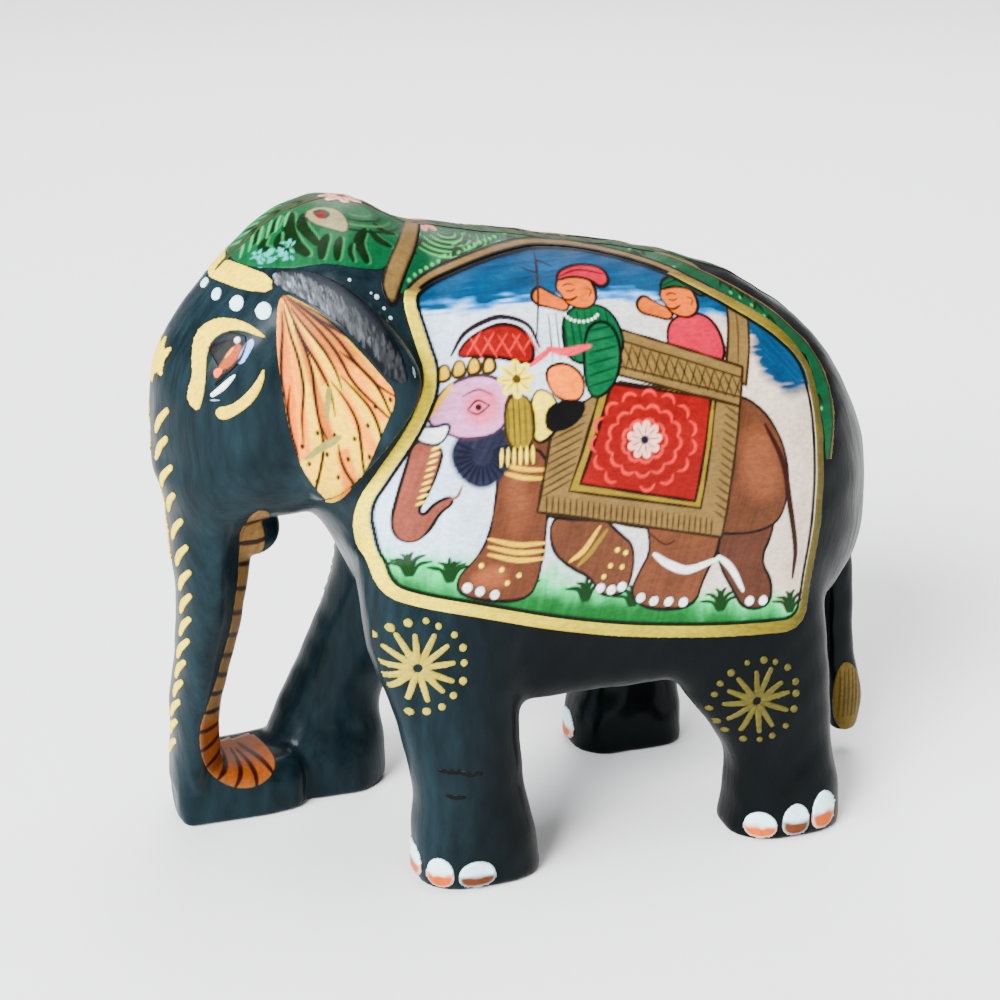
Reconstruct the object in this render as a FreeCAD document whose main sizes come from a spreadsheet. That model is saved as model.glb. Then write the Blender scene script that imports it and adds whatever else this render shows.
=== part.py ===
import FreeCAD, Part
import Sketcher

import math
import os

# A hand-painted carved elephant standing on its four feet, in millimetres.
# +Z is up, the head looks along -Y and the elephant's left flank faces +X.
# The origin lies on the ground under the middle of the figure.
#
# The wood is one carved block: torso, head, ears, trunk, legs and tail. Everything else is a
# coat of gesso, enamel or gold paint that lies on the wood, and each coat is its own sub-part.

Vector = FreeCAD.Vector
SHEET = "Sizes"
AXIS = {"x": Vector(1, 0, 0), "y": Vector(0, 1, 0), "z": Vector(0, 0, 1)}

# Driving dimensions that stand alone.
SIZES = {
    "coat": 0.3,                # thickness of a paint coat over the wood
    "reach": 40.0,              # how far a paint stencil reaches out of the middle plane
    "spine_cloth_half": 7.0,    # half width of the green cloth along the spine
    "border_gap": 0.25,         # bare line between the spine cloth and a picture
    "ear_root": 12.0,           # inner face of an ear flap at its rear edge
    "ear_face": 25.8,           # outer face of an ear flap at its rear edge
    "ear_tilt": 15.0,           # an ear leans in towards the brow by this many degrees
    "ear_rear": -26.5,          # y of the ear's rear edge, about which it leans
    "girth_half": 22.0,         # the saw-cut underside between the legs: half its width
    "girth_front": -20.0,
    "girth_rear": 37.0,
    "girth_low": 29.0,
    "girth_high": 60.0,
    "girth_round": 7.0,         # its rounded lower edges
    "nail_long": 2.4,           # half height of a toenail
    "nail_wide": 2.0,           # half width of a toenail
    "nail_deep": 1.0,           # half depth of a toenail
    "nail_height": 3.2,         # centre of a toenail above the ground
    "lip_wide": 5.5,            # the lower lip: half width, half depth and half height
    "lip_deep": 5.0,
    "lip_drop": 5.0,
    "lip_at": -49.0,            # its centre along y
    "lip_height": 56.0,         # and above the ground
    "cloth_front": -20.0,       # the spine cloth's front edge
    "cloth_long": 71.0,         # its length
    "cloth_low": 66.0,          # its rear end stops at this height
    "cloth_tall": 50.0,         # the stencil's height above that
    "ray_wide": 1.0,            # width of one ray of a rosette
    "ray_from": 2.6,            # a ray starts this far from the centre
    "ray_to": 6.4,              # and ends this far from it
    "ray_inner": 16.0,          # a rosette lies only outside this distance from the middle plane
    "dash_long": 3.4,           # a gold dash along the trunk
    "dash_wide": 0.9,
    "dash_front": -63.6,        # the dashes' stencils start in front of the trunk
    "dash_reach": 12.0,         # and cover this width on either side
    "dot_half": 0.7,            # half side of a forehead dot
    "dot_inner": 2.0,           # a forehead dot lies only outside this distance from the middle
    "eye_inner": 1.0,           # an eye lies only outside this distance from the middle
}

# Stations of the limbs. A cross station stands across Y: its y, then the centre's x and z, then
# the half width along x and the half height along z.
CROSS_LIMBS = {
    "torso": [
        (-42, 0, 78, 13, 16),
        (-34, 0, 71.5, 20, 28),
        (-22, 0, 66.5, 24, 37),
        (-8, 0, 65, 25.5, 37),
        (8, 0, 63.5, 26, 36.5),
        (24, 0, 61, 26, 35),
        (38, 0, 58.5, 24.5, 29.5),
        (50, 0, 55, 18, 21),
        (57, 0, 51, 8, 11.5),
    ],
    "head": [
        (-62.4, 0, 77, 5, 7),
        (-57, 0, 77.5, 13, 17),
        (-50, 0, 80.5, 17.5, 21.3),
        (-40, 0, 85.3, 20.5, 23.2),
        (-32, 0, 84.5, 20.5, 24.5),
        (-24, 0, 83, 18, 22.5),
        (-17, 0, 80, 12, 18),
    ],
}

# The trunk's tip lies on its side, so it is a cross limb whose long axis is x.
TIP_LIMB = {
    "trunk_tip": [
        (-60.8, -13.5, 7.5, 4.6, 4.4),
        (-57, -14.5, 5.5, 7.8, 7.6),
        (-48, -17.5, 4.6, 8.3, 7.6),
        (-38, -19.5, 5, 7.4, 7),
    ],
}

# A level station lies flat: its z, then the centre's x and y, then the half width along x and
# the half length along y.
LEVEL_LIMBS = {
    "leg_front_left": [
        (0, 19, -17.3, 7.4, 10.3),
        (6, 19.2, -18, 7.6, 10.9),
        (14, 19.2, -18.6, 6.6, 9.3),
        (26, 19, -19.8, 6.8, 9.6),
        (40, 17, -21.5, 7.8, 11.5),
        (54, 14, -22, 8, 12),
    ],
    "leg_front_right": [
        (0, -19.5, -34, 7.2, 10.6),
        (6, -19.5, -33.8, 7.4, 11),
        (14, -19.5, -32, 6.8, 9.6),
        (26, -19, -26.5, 6.8, 9.3),
        (40, -17, -21, 7.8, 10),
        (54, -14, -19.5, 8, 11),
    ],
    "leg_hind_left": [
        (0, 19, 38.3, 7.4, 10.6),
        (6, 19.2, 39, 7.6, 10.7),
        (14, 19, 38.2, 6.8, 9.4),
        (26, 18.2, 34.5, 7.4, 12),
        (40, 16, 30.5, 8.6, 14.5),
        (54, 13, 29, 9, 14),
    ],
    "leg_hind_right": [
        (0, -19, 23.6, 7.4, 10.2),
        (6, -19.2, 23.2, 7.6, 11),
        (14, -19, 24.5, 6.8, 9.3),
        (26, -18.2, 27.5, 7.4, 11.5),
        (40, -16, 29.5, 8.6, 14),
        (54, -13, 29, 9, 14),
    ],
    "tail": [
        (5, 0, 60.2, 2.2, 2.6),
        (12, 0, 59.8, 2.8, 3.3),
        (22, 0, 58.2, 2.5, 3),
        (36, 0, 57.3, 2.7, 3.1),
        (50, 0, 56, 3, 3.8),
        (66, 0, 50, 3.4, 5),
    ],
}

# The trunk is wider across x than along y.
TRUNK_LIMB = {
    "trunk": [
        (8, -13.5, -57, 7, 3.8),
        (22, -10, -57.3, 6.9, 4.2),
        (32, -6, -56.2, 6.9, 4.6),
        (44, -3, -55, 7.3, 5.3),
        (56, -1, -54.2, 8.2, 6.3),
        (68, 0, -53, 10, 8.2),
    ],
}

# Outlines seen along x, as (y, z) corners.
OUTLINES = {
    "ear_flap": [
        (-45, 99.5), (-38, 99.5), (-31, 93.5), (-26.5, 86.5), (-28, 80), (-32.5, 73),
        (-37.5, 66.5), (-40.5, 67.5), (-43, 76), (-44.7, 87),
    ],
    "ear_paint": [
        (-44.5, 98.5), (-40.5, 96.5), (-34.5, 90.5), (-29.4, 84.5), (-33, 75), (-37.8, 67.3),
        (-40.2, 68.5), (-42.5, 76.5), (-44.2, 87),
    ],
    "picture": [
        (-35, 56.5), (-17.5, 50.5), (2.5, 45), (20, 42), (36.5, 41.6), (38, 64), (37.5, 76),
        (32, 87), (22, 94), (4, 100.5), (-12, 102), (-19, 99.5), (-24, 92), (-28, 84), (-36, 67),
    ],
    "border": [
        (-37, 53), (-18, 47.8), (2.4, 42.3), (20, 39.2), (38.4, 38.8), (40, 64), (39.5, 77),
        (33.5, 88.5), (23, 95.5), (4, 102), (-12, 104), (-20.5, 101), (-25.5, 93), (-29.5, 85),
        (-38, 67),
    ],
    "head_cap": [
        (-54.5, 99.8), (-45.5, 98.6), (-38, 98.3), (-28.5, 98), (-24.4, 104), (-24.4, 113), (-55, 113),
    ],
    "neck_strap": [(-26.5, 94), (-23.6, 94), (-20.6, 106), (-23.6, 107)],
    "forehead_band": [
        (-56, 96.5), (-52, 95.8), (-45.5, 96), (-45.5, 98.2), (-52.4, 99.4), (-56.5, 99.4),
    ],
    "eye_paint": [
        (-58, 90), (-54, 93.6), (-48, 92), (-48, 87), (-54, 81), (-57, 82.5),
    ],
    "trunk_stripes": [
        (-44.5, 60), (-50, 60), (-53.5, 44), (-56, 31), (-57, 20), (-53, 11), (-46, 7.5),
        (-40, 9), (-40, 20), (-44.5, 30),
    ],
    "tail_tuft": [(55, 3), (66, 3), (66, 20), (54, 21)],
}

# Rosettes: the flank's side along x, the centre's y and z, and the number of rays.
ROSETTES = {
    "shoulder_rosette_left": (1, -27, 39.5, 13),
    "shoulder_rosette_right": (-1, -27, 39.5, 13),
    "haunch_rosette_left": (1, 30.5, 28, 12),
    "haunch_rosette_right": (-1, 28.5, 28, 12),
}

# Toenails: the leg's limb, and which way the three nails fan out from the foot's front.
FEET = {
    "toenails_front_left": "leg_front_left",
    "toenails_front_right": "leg_front_right",
    "toenails_hind_left": "leg_hind_left",
    "toenails_hind_right": "leg_hind_right",
}
NAIL_TURNS = (-62, -24, 14)     # degrees from straight ahead, positive towards the middle plane
NAIL_SINK = 0.1                 # a nail's centre lies this far inside the foot's outline

DASH_COUNT = 17
DASH_LOW = 24.0                 # the lowest and the highest dash of the trunk
DASH_HIGH = 88.0
DASH_TILT = 40.0                # how far a dash slants, in degrees
DASH_GAP = 0.6                  # bare line between the two rows of dashes
TRUNK_SWING = 14.0              # how far the two rows follow the trunk's swing to the right
SWING_TOP = 50.0                # the swing starts below this height

# Dots over the brow, as (y, z).
DOTS = ((-57.6, 96.2), (-55.2, 95.0), (-52.2, 94.4), (-48.6, 94.6))
GROUND_DEPTH = 20.0
THICK = ("carved_block", *FEET)     # the sub-parts that aren't an even coat of paint

doc = FreeCAD.newDocument("painted_elephant")
sheet = doc.addObject("Spreadsheet::Sheet", SHEET)
rows = []


def cell(alias, value):
    """Writes one driving dimension and names it."""
    rows.append(alias)
    place = str(len(rows))
    sheet.set("A" + place, alias)
    sheet.set("B" + place, str(value))
    sheet.setAlias("B" + place, alias)


def size(alias):
    """The expression for a cell of the sheet."""
    return SHEET + "." + alias


def fill_sheet():
    for alias, value in SIZES.items():
        cell(alias, value)
    for group in (CROSS_LIMBS, TIP_LIMB, LEVEL_LIMBS, TRUNK_LIMB):
        for limb_name, stations in group.items():
            for i, station in enumerate(stations):
                for word, value in zip(("at", "first", "second", "wide", "long"), station):
                    cell(f"{limb_name}_{word}_{i}", value)
    for outline_name, corners in OUTLINES.items():
        for i, (y, z) in enumerate(corners):
            cell(f"{outline_name}_y_{i}", y)
            cell(f"{outline_name}_z_{i}", z)


def bind(thing, **expressions):
    """Binds properties, with __ standing for a dot, to expressions of the sheet."""
    for name, expression in expressions.items():
        thing.setExpression(name.replace("__", "."), expression)
    return thing


def ellipse(name, major, minor, normal, long_word, wide_word, swell):
    """One oval station, bound to its cells, with its long axis along the axis called major."""
    oval = doc.addObject("Part::Ellipse", name + ("_coat" if swell else ""))
    oval.Placement.Rotation = FreeCAD.Rotation(AXIS[major], AXIS[minor], AXIS[normal], "XZY")
    extra = f" + {size('coat')}" if swell else ""
    limb_name, number = name.rsplit("_", 1)
    for prop, word in (("MajorRadius", long_word), ("MinorRadius", wide_word)):
        oval.setExpression(prop, f"{size(f'{limb_name}_{word}_{number}')}{extra}")
    centre = {"y": ("y", "x", "z"), "z": ("z", "x", "y")}[normal]
    for axis, word in zip(centre, ("at", "first", "second")):
        oval.setExpression(f"Placement.Base.{axis}", size(f"{limb_name}_{word}_{number}"))
    return oval


def limb(name, count, normal, major, swell):
    """A solid lofted through the stations of one limb, as wood or swollen by one coat."""
    across = {"y": {"z": "x", "x": "z"}, "z": {"y": "x", "x": "y"}}[normal][major]
    words = ("wide", "long") if major == "x" else ("long", "wide")
    ovals = [
        ellipse(f"{name}_{i}", major, across, normal, words[0], words[1], swell)
        for i in range(count)
    ]
    loft = doc.addObject("Part::Loft", name + ("_skin" if swell else "_wood"))
    loft.Sections = ovals
    loft.Solid = True
    return loft


def girth(swell):
    """The lower trunk of the body between the legs, flat below with two rounded edges."""
    extra = size("coat") if swell else "0"
    half = f"({size('girth_half')} + {extra})"
    slab = box(
        "girth_slab" + ("_coat" if swell else ""),
        [f"-{half}", size("girth_front"), f"{size('girth_low')} - {extra}"],
        [
            f"2 * {half}",
            f"{size('girth_rear')} - {size('girth_front')}",
            f"{size('girth_high')} - {size('girth_low')}",
        ],
    )
    doc.recompute()
    low = slab.Shape.BoundBox.ZMin
    lower_edges = [
        i + 1
        for i, edge in enumerate(slab.Shape.Edges)
        if edge.BoundBox.ZMax < low + 1 and edge.BoundBox.YLength > 1
    ]
    rounded = doc.addObject("Part::Fillet", "girth" + ("_skin" if swell else "_wood"))
    rounded.Base = slab
    radius = SIZES["girth_round"]
    rounded.Edges = [(i, radius, radius) for i in lower_edges]
    return rounded


def all_limbs(swell):
    made = {"girth": girth(swell)}
    for group, normal, major in (
        (CROSS_LIMBS, "y", "z"),
        (TIP_LIMB, "y", "x"),
        (LEVEL_LIMBS, "z", "y"),
        (TRUNK_LIMB, "z", "x"),
    ):
        for name, stations in group.items():
            made[name] = limb(name, len(stations), normal, major, swell)
    return made


def outline(name, suffix, start):
    """The sketch of a side outline on the plane x = start, an expression."""
    corners = OUTLINES[name]
    sketch = doc.addObject("Sketcher::SketchObject", f"{name}_outline{suffix}")
    upright = FreeCAD.Rotation(AXIS["y"], AXIS["z"], AXIS["x"], "XZY")
    if name.startswith("ear"):
        sign = 1 if suffix.endswith("right") else -1
        upright = FreeCAD.Rotation(AXIS["z"], sign * SIZES["ear_tilt"]) * upright
        lean = f"{size('ear_tilt')} * 1deg"
        sketch.setExpression("Placement.Base.y", f"{size('ear_rear')} * (1 - cos({lean}))")
        start = f"{start} + {sign} * {size('ear_rear')} * sin({lean})"
    sketch.Placement.Rotation = upright
    sketch.setExpression("Placement.Base.x", start)
    count = len(corners)
    for i, (y, z) in enumerate(corners):
        far_y, far_z = corners[(i + 1) % count]
        sketch.addGeometry(Part.LineSegment(Vector(y, z, 0), Vector(far_y, far_z, 0)))
    for i in range(count):
        sketch.addConstraint(Sketcher.Constraint("Coincident", i, 2, (i + 1) % count, 1))
    for i, (y, z) in enumerate(corners):
        for kind, word, value in (("DistanceX", "y", y), ("DistanceY", "z", z)):
            number = sketch.addConstraint(Sketcher.Constraint(kind, -1, 1, i, 1, float(value)))
            sketch.setExpression(f"Constraints[{number}]", size(f"{name}_{word}_{i}"))
    return sketch


def stencil(name, start, length, direction=1, suffix=""):
    """A side outline pushed along x, from the plane x = start for that length."""
    push = doc.addObject("Part::Extrusion", f"{name}_stencil{suffix}")
    push.Base = outline(name, suffix, start)
    push.DirMode = "Custom"
    push.Dir = Vector(direction, 0, 0)
    push.Solid = True
    push.setExpression("LengthFwd", length)
    return push


def box(name, low, long, turn=None):
    """A box between expressions: low corner and lengths, both as (x, y, z)."""
    made = doc.addObject("Part::Box", name)
    for prop, expression in zip(("Length", "Width", "Height"), long):
        made.setExpression(prop, expression)
    if turn is not None:
        made.Placement.Rotation = turn
    for axis, expression in zip("xyz", low):
        made.setExpression("Placement.Base." + axis, expression)
    return made


def boolean(kind, name, base, tool):
    made = doc.addObject("Part::" + kind, name)
    made.Base = base
    made.Tool = tool
    return made


def group_of(kind, name, members):
    made = doc.addObject("Part::" + kind, name)
    if kind == "Compound":
        made.Links = members
    else:
        made.Shapes = members
    return made


def carved_block(limbs):
    """The wood: every limb, the lower lip and both ears as one solid, sawn flat at the ground."""
    lip = doc.addObject("Part::Ellipsoid", "lip_wood")
    bind(lip, Radius1=size("lip_drop"), Radius2=size("lip_wide"), Radius3=size("lip_deep"))
    bind(lip, Placement__Base__y=size("lip_at"), Placement__Base__z=size("lip_height"))
    depth = f"{size('ear_face')} - {size('ear_root')}"
    ears = [
        stencil("ear_flap", size("ear_root"), depth, 1, "_left"),
        stencil("ear_flap", f"-{size('ear_root')}", depth, -1, "_right"),
    ]
    fused = group_of("MultiFuse", "rough_block", list(limbs.values()) + [lip] + ears)
    ground = box(
        "ground", [f"-{size('reach')}", f"-3 * {size('reach')}", str(-GROUND_DEPTH)],
        [f"2 * {size('reach')}", f"6 * {size('reach')}", str(GROUND_DEPTH)],
    )
    return boolean("Cut", "carved_block", fused, ground)


def coat(name, skin, shape, block):
    """A paint coat: the skin over the wood inside a stencil."""
    return boolean("Cut", name, boolean("Common", name + "_area", skin, shape), block)


def head_cap(skin, wood, block):
    """The green cap over the crown, hollowed by the head alone before the rest of the block."""
    area = boolean("Common", "head_cap_area", skin, two_sided("head_cap"))
    shell = boolean("Cut", "head_cap_shell", area, wood)
    return boolean("Cut", "head_cap", shell, block)


def two_sided(name):
    """A stencil that reaches through the whole figure."""
    return stencil(name, f"-{size('reach')}", f"2 * {size('reach')}")


def pictures(skin, block):
    """White picture grounds and the gold borders round them, one of each on either flank."""
    gap = f"({size('spine_cloth_half')} + {size('border_gap')})"
    coats = []
    for word, sign, direction in (("left", "", 1), ("right", "-", -1)):
        start = f"{sign}{gap}"
        ground = stencil("picture", start, size("reach"), direction, "_" + word)
        outer = stencil("border", start, size("reach"), direction, "_" + word)
        ring = boolean("Cut", "border_ring_" + word, outer, ground)
        coats.append(coat("picture_ground_" + word, skin, ground, block))
        coats.append(coat("picture_border_" + word, skin, ring, block))
    return coats


def back_cloth(skin, block):
    """The green cloth painted along the spine, from the neck strap to the rump."""
    area = box(
        "back_cloth_box", [f"-{size('spine_cloth_half')}", size("cloth_front"), size("cloth_low")],
        [f"2 * {size('spine_cloth_half')}", size("cloth_long"), size("cloth_tall")],
    )
    return coat("back_cloth", skin, area, block)


def ear_paints():
    """The fan painted on each ear flap, a flat coat on the flap's face."""
    made = []
    for word, sign, direction in (("left", "", 1), ("right", "-", -1)):
        film = stencil("ear_paint", f"{sign}{size('ear_face')}", size("coat"), direction, "_" + word)
        film.Label = "ear_paint_" + word
        made.append(film)
    return made


def eye_paints(skin, block):
    made = []
    for word, sign, direction in (("left", "", 1), ("right", "-", -1)):
        start = f"{sign}{size('eye_inner')}"
        area = stencil("eye_paint", start, size("reach"), direction, "_" + word)
        made.append(coat("eye_paint_" + word, skin, area, block))
    return made


def rosette(name, skin, block):
    """Gold rays round a centre on one flank."""
    side, y, z, count = ROSETTES[name]
    rays = []
    for i in range(count):
        angle = 360 * i / count
        a = math.radians(angle)
        turn = FreeCAD.Rotation(AXIS["x"], angle)
        inward = size("ray_from")
        half = f"{size('ray_wide')} / 2"
        low = [
            size("ray_inner") if side > 0 else f"-{size('reach')}",
            f"{y} + {inward} * {math.cos(a):.4f} + {half} * {math.sin(a):.4f}",
            f"{z} + {inward} * {math.sin(a):.4f} - {half} * {math.cos(a):.4f}",
        ]
        long = [
            f"{size('reach')} - {size('ray_inner')}",
            f"{size('ray_to')} - {size('ray_from')}",
            size("ray_wide"),
        ]
        rays.append(box(f"{name}_ray_{i}", low, long, turn))
    return coat(name, skin, group_of("Compound", name + "_rays", rays), block)


def toenails(name, block):
    """Three painted nails that fan round the front of one foot."""
    limb_name = FEET[name]
    outer = 1 if LEVEL_LIMBS[limb_name][0][1] > 0 else -1
    nails = []
    for i, turn in enumerate(NAIL_TURNS):
        a = math.radians(turn)
        nail = doc.addObject("Part::Ellipsoid", f"{name}_{i}")
        nail.Angle1 = -90
        bind(nail, Radius1=size("nail_long"), Radius2=size("nail_deep"), Radius3=size("nail_wide"))
        nail.Placement.Rotation = FreeCAD.Rotation(AXIS["z"], -90 - outer * turn)
        across = -outer * math.sin(a)
        ahead = math.cos(a)
        station = f"{limb_name}_{{}}_1"
        bind(
            nail,
            Placement__Base__x=f"{size(station.format('first'))} + {across:.4f} * "
            f"({size(station.format('wide'))} - {NAIL_SINK})",
            Placement__Base__y=f"{size(station.format('second'))} - {ahead:.4f} * "
            f"({size(station.format('long'))} - {NAIL_SINK})",
            Placement__Base__z=size("nail_height"),
        )
        nails.append(nail)
    return boolean("Cut", name, group_of("Compound", name + "_group", nails), block)


def chevrons(skin, block):
    """Slanted gold dashes down both front edges of the trunk."""
    dashes = []
    for side in (1, -1):
        turn = FreeCAD.Rotation(AXIS["x"], -DASH_TILT)
        for i in range(DASH_COUNT):
            z = DASH_LOW + (DASH_HIGH - DASH_LOW) * i / (DASH_COUNT - 1)
            lean = max(0.0, (SWING_TOP - z) / SWING_TOP)
            inner = f"{DASH_GAP}" if side > 0 else f"-{DASH_GAP} - {size('dash_reach')}"
            low = [f"{inner} - {TRUNK_SWING * lean:.2f}", size("dash_front"), f"{z:.2f}"]
            long = [size("dash_reach"), size("dash_long"), size("dash_wide")]
            dashes.append(box(f"dash_{i}_{'left' if side > 0 else 'right'}", low, long, turn))
    return coat("trunk_chevrons", skin, group_of("Compound", "dashes", dashes), block)


def forehead_dots(skin, block):
    """White dots in a row over each brow."""
    dots = []
    half = size("dot_half")
    long = [f"{size('reach')} - {size('dot_inner')}", f"2 * {half}", f"2 * {half}"]
    for side, low_x in (("left", size("dot_inner")), ("right", f"-{size('reach')}")):
        for i, (y, z) in enumerate(DOTS):
            low = [low_x, f"{y} - {half}", f"{z} - {half}"]
            dots.append(box(f"dot_{side}_{i}", low, long))
    return coat("forehead_dots", skin, group_of("Compound", "dots", dots), block)


def failed_objects():
    """Every object that did not recompute."""
    return [o.Name for o in doc.Objects if "Invalid" in o.State or "Error" in o.State]


def build():
    """Makes the document and returns the sub-parts, each labelled with its node's name."""
    fill_sheet()
    doc.recompute()
    limbs = all_limbs(swell=False)
    block = carved_block(limbs)
    swollen = all_limbs(swell=True)
    skin = group_of("MultiFuse", "skin", list(swollen.values()))
    parts = [block]
    parts += pictures(skin, block)
    parts.append(back_cloth(skin, block))
    parts.append(head_cap(swollen["head"], limbs["head"], block))
    for name in ("neck_strap", "forehead_band", "trunk_stripes", "tail_tuft"):
        parts.append(coat(name, skin, two_sided(name), block))
    parts += ear_paints()
    parts += eye_paints(skin, block)
    parts.append(chevrons(skin, block))
    parts.append(forehead_dots(skin, block))
    parts += [rosette(name, skin, block) for name in ROSETTES]
    parts += [toenails(name, block) for name in FEET]
    doc.recompute()
    return parts


def write(parts):
    """Checks every object, then writes one STEP file per sub-part."""
    failed = failed_objects()
    if failed:
        raise SystemExit(f"did not recompute: {failed}")
    for part in parts:
        if part.Shape.isNull() or not part.Shape.isValid() or not part.Shape.Solids:
            raise SystemExit(f"{part.Label} has no valid solid")
        if part.Label in THICK:
            continue
        if part.Shape.Volume > part.Shape.Area * SIZES["coat"]:
            raise SystemExit(f"{part.Label} is thicker than a coat of paint")
    os.makedirs("parts", exist_ok=True)
    for part in parts:
        part.Shape.exportStep(f"parts/{part.Label}.step")
        print(f"{part.Label}: {len(part.Shape.Solids)} solids, {part.Shape.Volume:.1f} mm3")


write(build())
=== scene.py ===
import math

import bpy
import numpy as np
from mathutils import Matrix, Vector
from mathutils.bvhtree import BVHTree


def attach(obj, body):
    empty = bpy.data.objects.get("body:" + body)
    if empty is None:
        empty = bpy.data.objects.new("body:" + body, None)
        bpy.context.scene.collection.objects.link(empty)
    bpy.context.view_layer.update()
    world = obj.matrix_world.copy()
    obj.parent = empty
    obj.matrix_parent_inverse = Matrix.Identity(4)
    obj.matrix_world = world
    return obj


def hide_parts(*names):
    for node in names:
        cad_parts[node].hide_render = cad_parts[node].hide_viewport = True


# A hand-painted carved elephant. Lengths are millimetres until a mesh is made: the head looks
# along -Y, the left flank faces +X, and the ground is z = 0, as in the CAD frame.

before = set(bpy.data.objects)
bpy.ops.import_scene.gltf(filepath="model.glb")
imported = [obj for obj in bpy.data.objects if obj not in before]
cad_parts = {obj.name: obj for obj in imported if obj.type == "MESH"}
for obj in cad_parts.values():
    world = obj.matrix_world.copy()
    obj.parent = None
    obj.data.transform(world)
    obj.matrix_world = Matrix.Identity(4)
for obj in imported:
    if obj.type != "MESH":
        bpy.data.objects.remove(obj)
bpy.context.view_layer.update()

MM = 0.001
SEED = 11
STEP = 0.55          # voxel size of the carved body

# ---------------------------------------------------------------- carving: stations
# A cross limb stands across y: y, then the centre's x and z, half width, half height.
TORSO = [
    (-42, 0, 80, 13, 14),
    (-34, 0, 76, 19, 23.5),
    (-28, 0, 71.5, 21.6, 31.3),
    (-20, 0, 67.6, 23.5, 36.1),
    (-8, 0, 65.3, 25.2, 36.5),
    (8, 0, 63.1, 25.7, 35.9),
    (24, 0, 61.0, 25.4, 34.6),
    (38, 0, 59.3, 24.2, 30.3),
    (49, 0, 57, 19.2, 23.0),
    (56.6, 0, 53.8, 10.4, 13.8),
]
HEAD = [
    (-62.2, 0, 76, 6, 8.5),
    (-57, 0, 76.5, 12.6, 15.6),
    (-50, 0, 79.4, 16.8, 20.2),
    (-40, 0, 83.5, 19.5, 23.9),
    (-32, 0, 84.5, 19.8, 24.2),
    (-24, 0, 82.5, 18, 22.4),
    (-17, 0, 80, 12, 18),
]
TRUNK_TIP = [
    (-60.4, -13.0, 7.0, 5.4, 7.6),
    (-57, -13.8, 3.4, 8.4, 8.6),
    (-48, -16.4, 1.6, 9.6, 8.2),
    (-38, -18.5, 2.2, 9.4, 7.6),
]
# A level limb lies flat: z, then the centre's x and y, half width, half length.
TRUNK = [
    (6, -13.5, -56.6, 6.6, 4),
    (22, -10, -56.4, 6.9, 4.2),
    (32, -6.4, -55.2, 6.9, 4.8),
    (44, -3, -54, 7.5, 5.6),
    (56, -1, -53.8, 8.6, 6.6),
    (68, 0, -53, 11, 8.4),
]
LEGS = {
    "front_left": [
        (-2, 19, -16, 7.7, 10.4),
        (6, 19.2, -16.6, 7.7, 10.2),
        (14, 19.2, -17.3, 6.8, 9.1),
        (26, 18.8, -18.9, 7.0, 9.7),
        (40, 16.6, -21.0, 8.2, 11.7),
        (56, 13, -22, 9, 12),
    ],
    "front_right": [
        (-2, -18.6, -33.2, 8.6, 11.3),
        (6, -18.9, -32.9, 8.4, 11.3),
        (14, -19.5, -31.8, 6.9, 9.4),
        (26, -19, -26.3, 7, 9.3),
        (40, -16.8, -20.6, 8.2, 10),
        (56, -13, -19.5, 9, 11),
    ],
    "hind_left": [
        (-2, 19.4, 38, 7.9, 10.5),
        (6, 19.4, 38.5, 7.8, 9.8),
        (14, 19, 37.5, 7, 9.4),
        (26, 18.2, 33.3, 7.5, 12.9),
        (40, 16, 29, 8.8, 16.2),
        (56, 12, 29, 9.5, 14),
    ],
    "hind_right": [
        (-2, -18.4, 24.3, 8.4, 10.6),
        (6, -18.8, 24.3, 8.2, 10.6),
        (14, -19, 25, 7, 9.2),
        (26, -18.2, 28, 7.5, 11.5),
        (40, -16, 29.6, 8.8, 14),
        (56, -12, 29, 9.5, 14),
    ],
}
TAIL = [
    (4.6, 0, 60.3, 2, 2.4),
    (12, 0, 59.8, 2.8, 3.3),
    (22, 0, 58.2, 2.4, 2.9),
    (36, 0, 57.0, 2.6, 3.0),
    (50, 0, 54.4, 3, 3.8),
    (64, 0, 48.5, 3.4, 5),
]
EAR = [
    (-47.5, 101), (-44.5, 103.3), (-39, 102.6), (-33, 98.2), (-28, 92), (-25.4, 86.4),
    (-26.6, 82), (-32, 74.2), (-37.6, 65.2), (-41.2, 65.4), (-43.2, 76), (-44.8, 87), (-46.4, 96),
]
EAR_FACE_REAR = 26.2        # x of the ear's face at its rear edge
EAR_REAR_Y = -26.0
EAR_SLOPE = 0.275           # x lost for each mm towards the brow
EAR_ROOT = 9.0
GIRTH = {"low": (-22.4, -24, 28.6), "high": (22.4, 38, 64), "round": 5.0}
LIP = {"centre": (-0.6, -47.0, 56.6), "size": (5.2, 4.2, 4.6)}
PARED = (0.62, 0.78)        # which way the trunk's pared corner faces, in x and y
SAW_CUT = {"low": (-10.8, -50, -9), "high": (12.2, 70, 25.5), "round": 2.2}


# ---------------------------------------------------------------- carving: distance fields
def hermite(stations, at):
    """Every column of the stations as a smooth curve, read at these places."""
    table = np.array(stations, float)
    knots, values = table[:, 0], table[:, 1:]
    slopes = np.gradient(values, knots, axis=0)
    at = np.clip(at, knots[0], knots[-1])
    i = np.clip(np.searchsorted(knots, at, side="right") - 1, 0, len(knots) - 2)
    gap = knots[i + 1] - knots[i]
    t = ((at - knots[i]) / gap)[:, None]
    gap = gap[:, None]
    ends = (2 * t**3 - 3 * t**2 + 1) * values[i] + (3 * t**2 - 2 * t**3) * values[i + 1]
    tangents = (t**3 - 2 * t**2 + t) * slopes[i] + (t**3 - t**2) * slopes[i + 1]
    return (ends + gap * tangents).T


def smooth_min(a, b, k):
    """The smaller of two distances, with the crease between them rounded by k."""
    h = np.clip(0.5 + 0.5 * (b - a) / k, 0, 1)
    return b + (a - b) * h - k * h * (1 - h)


def smooth_max(a, b, k):
    return -smooth_min(-a, -b, k)


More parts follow.
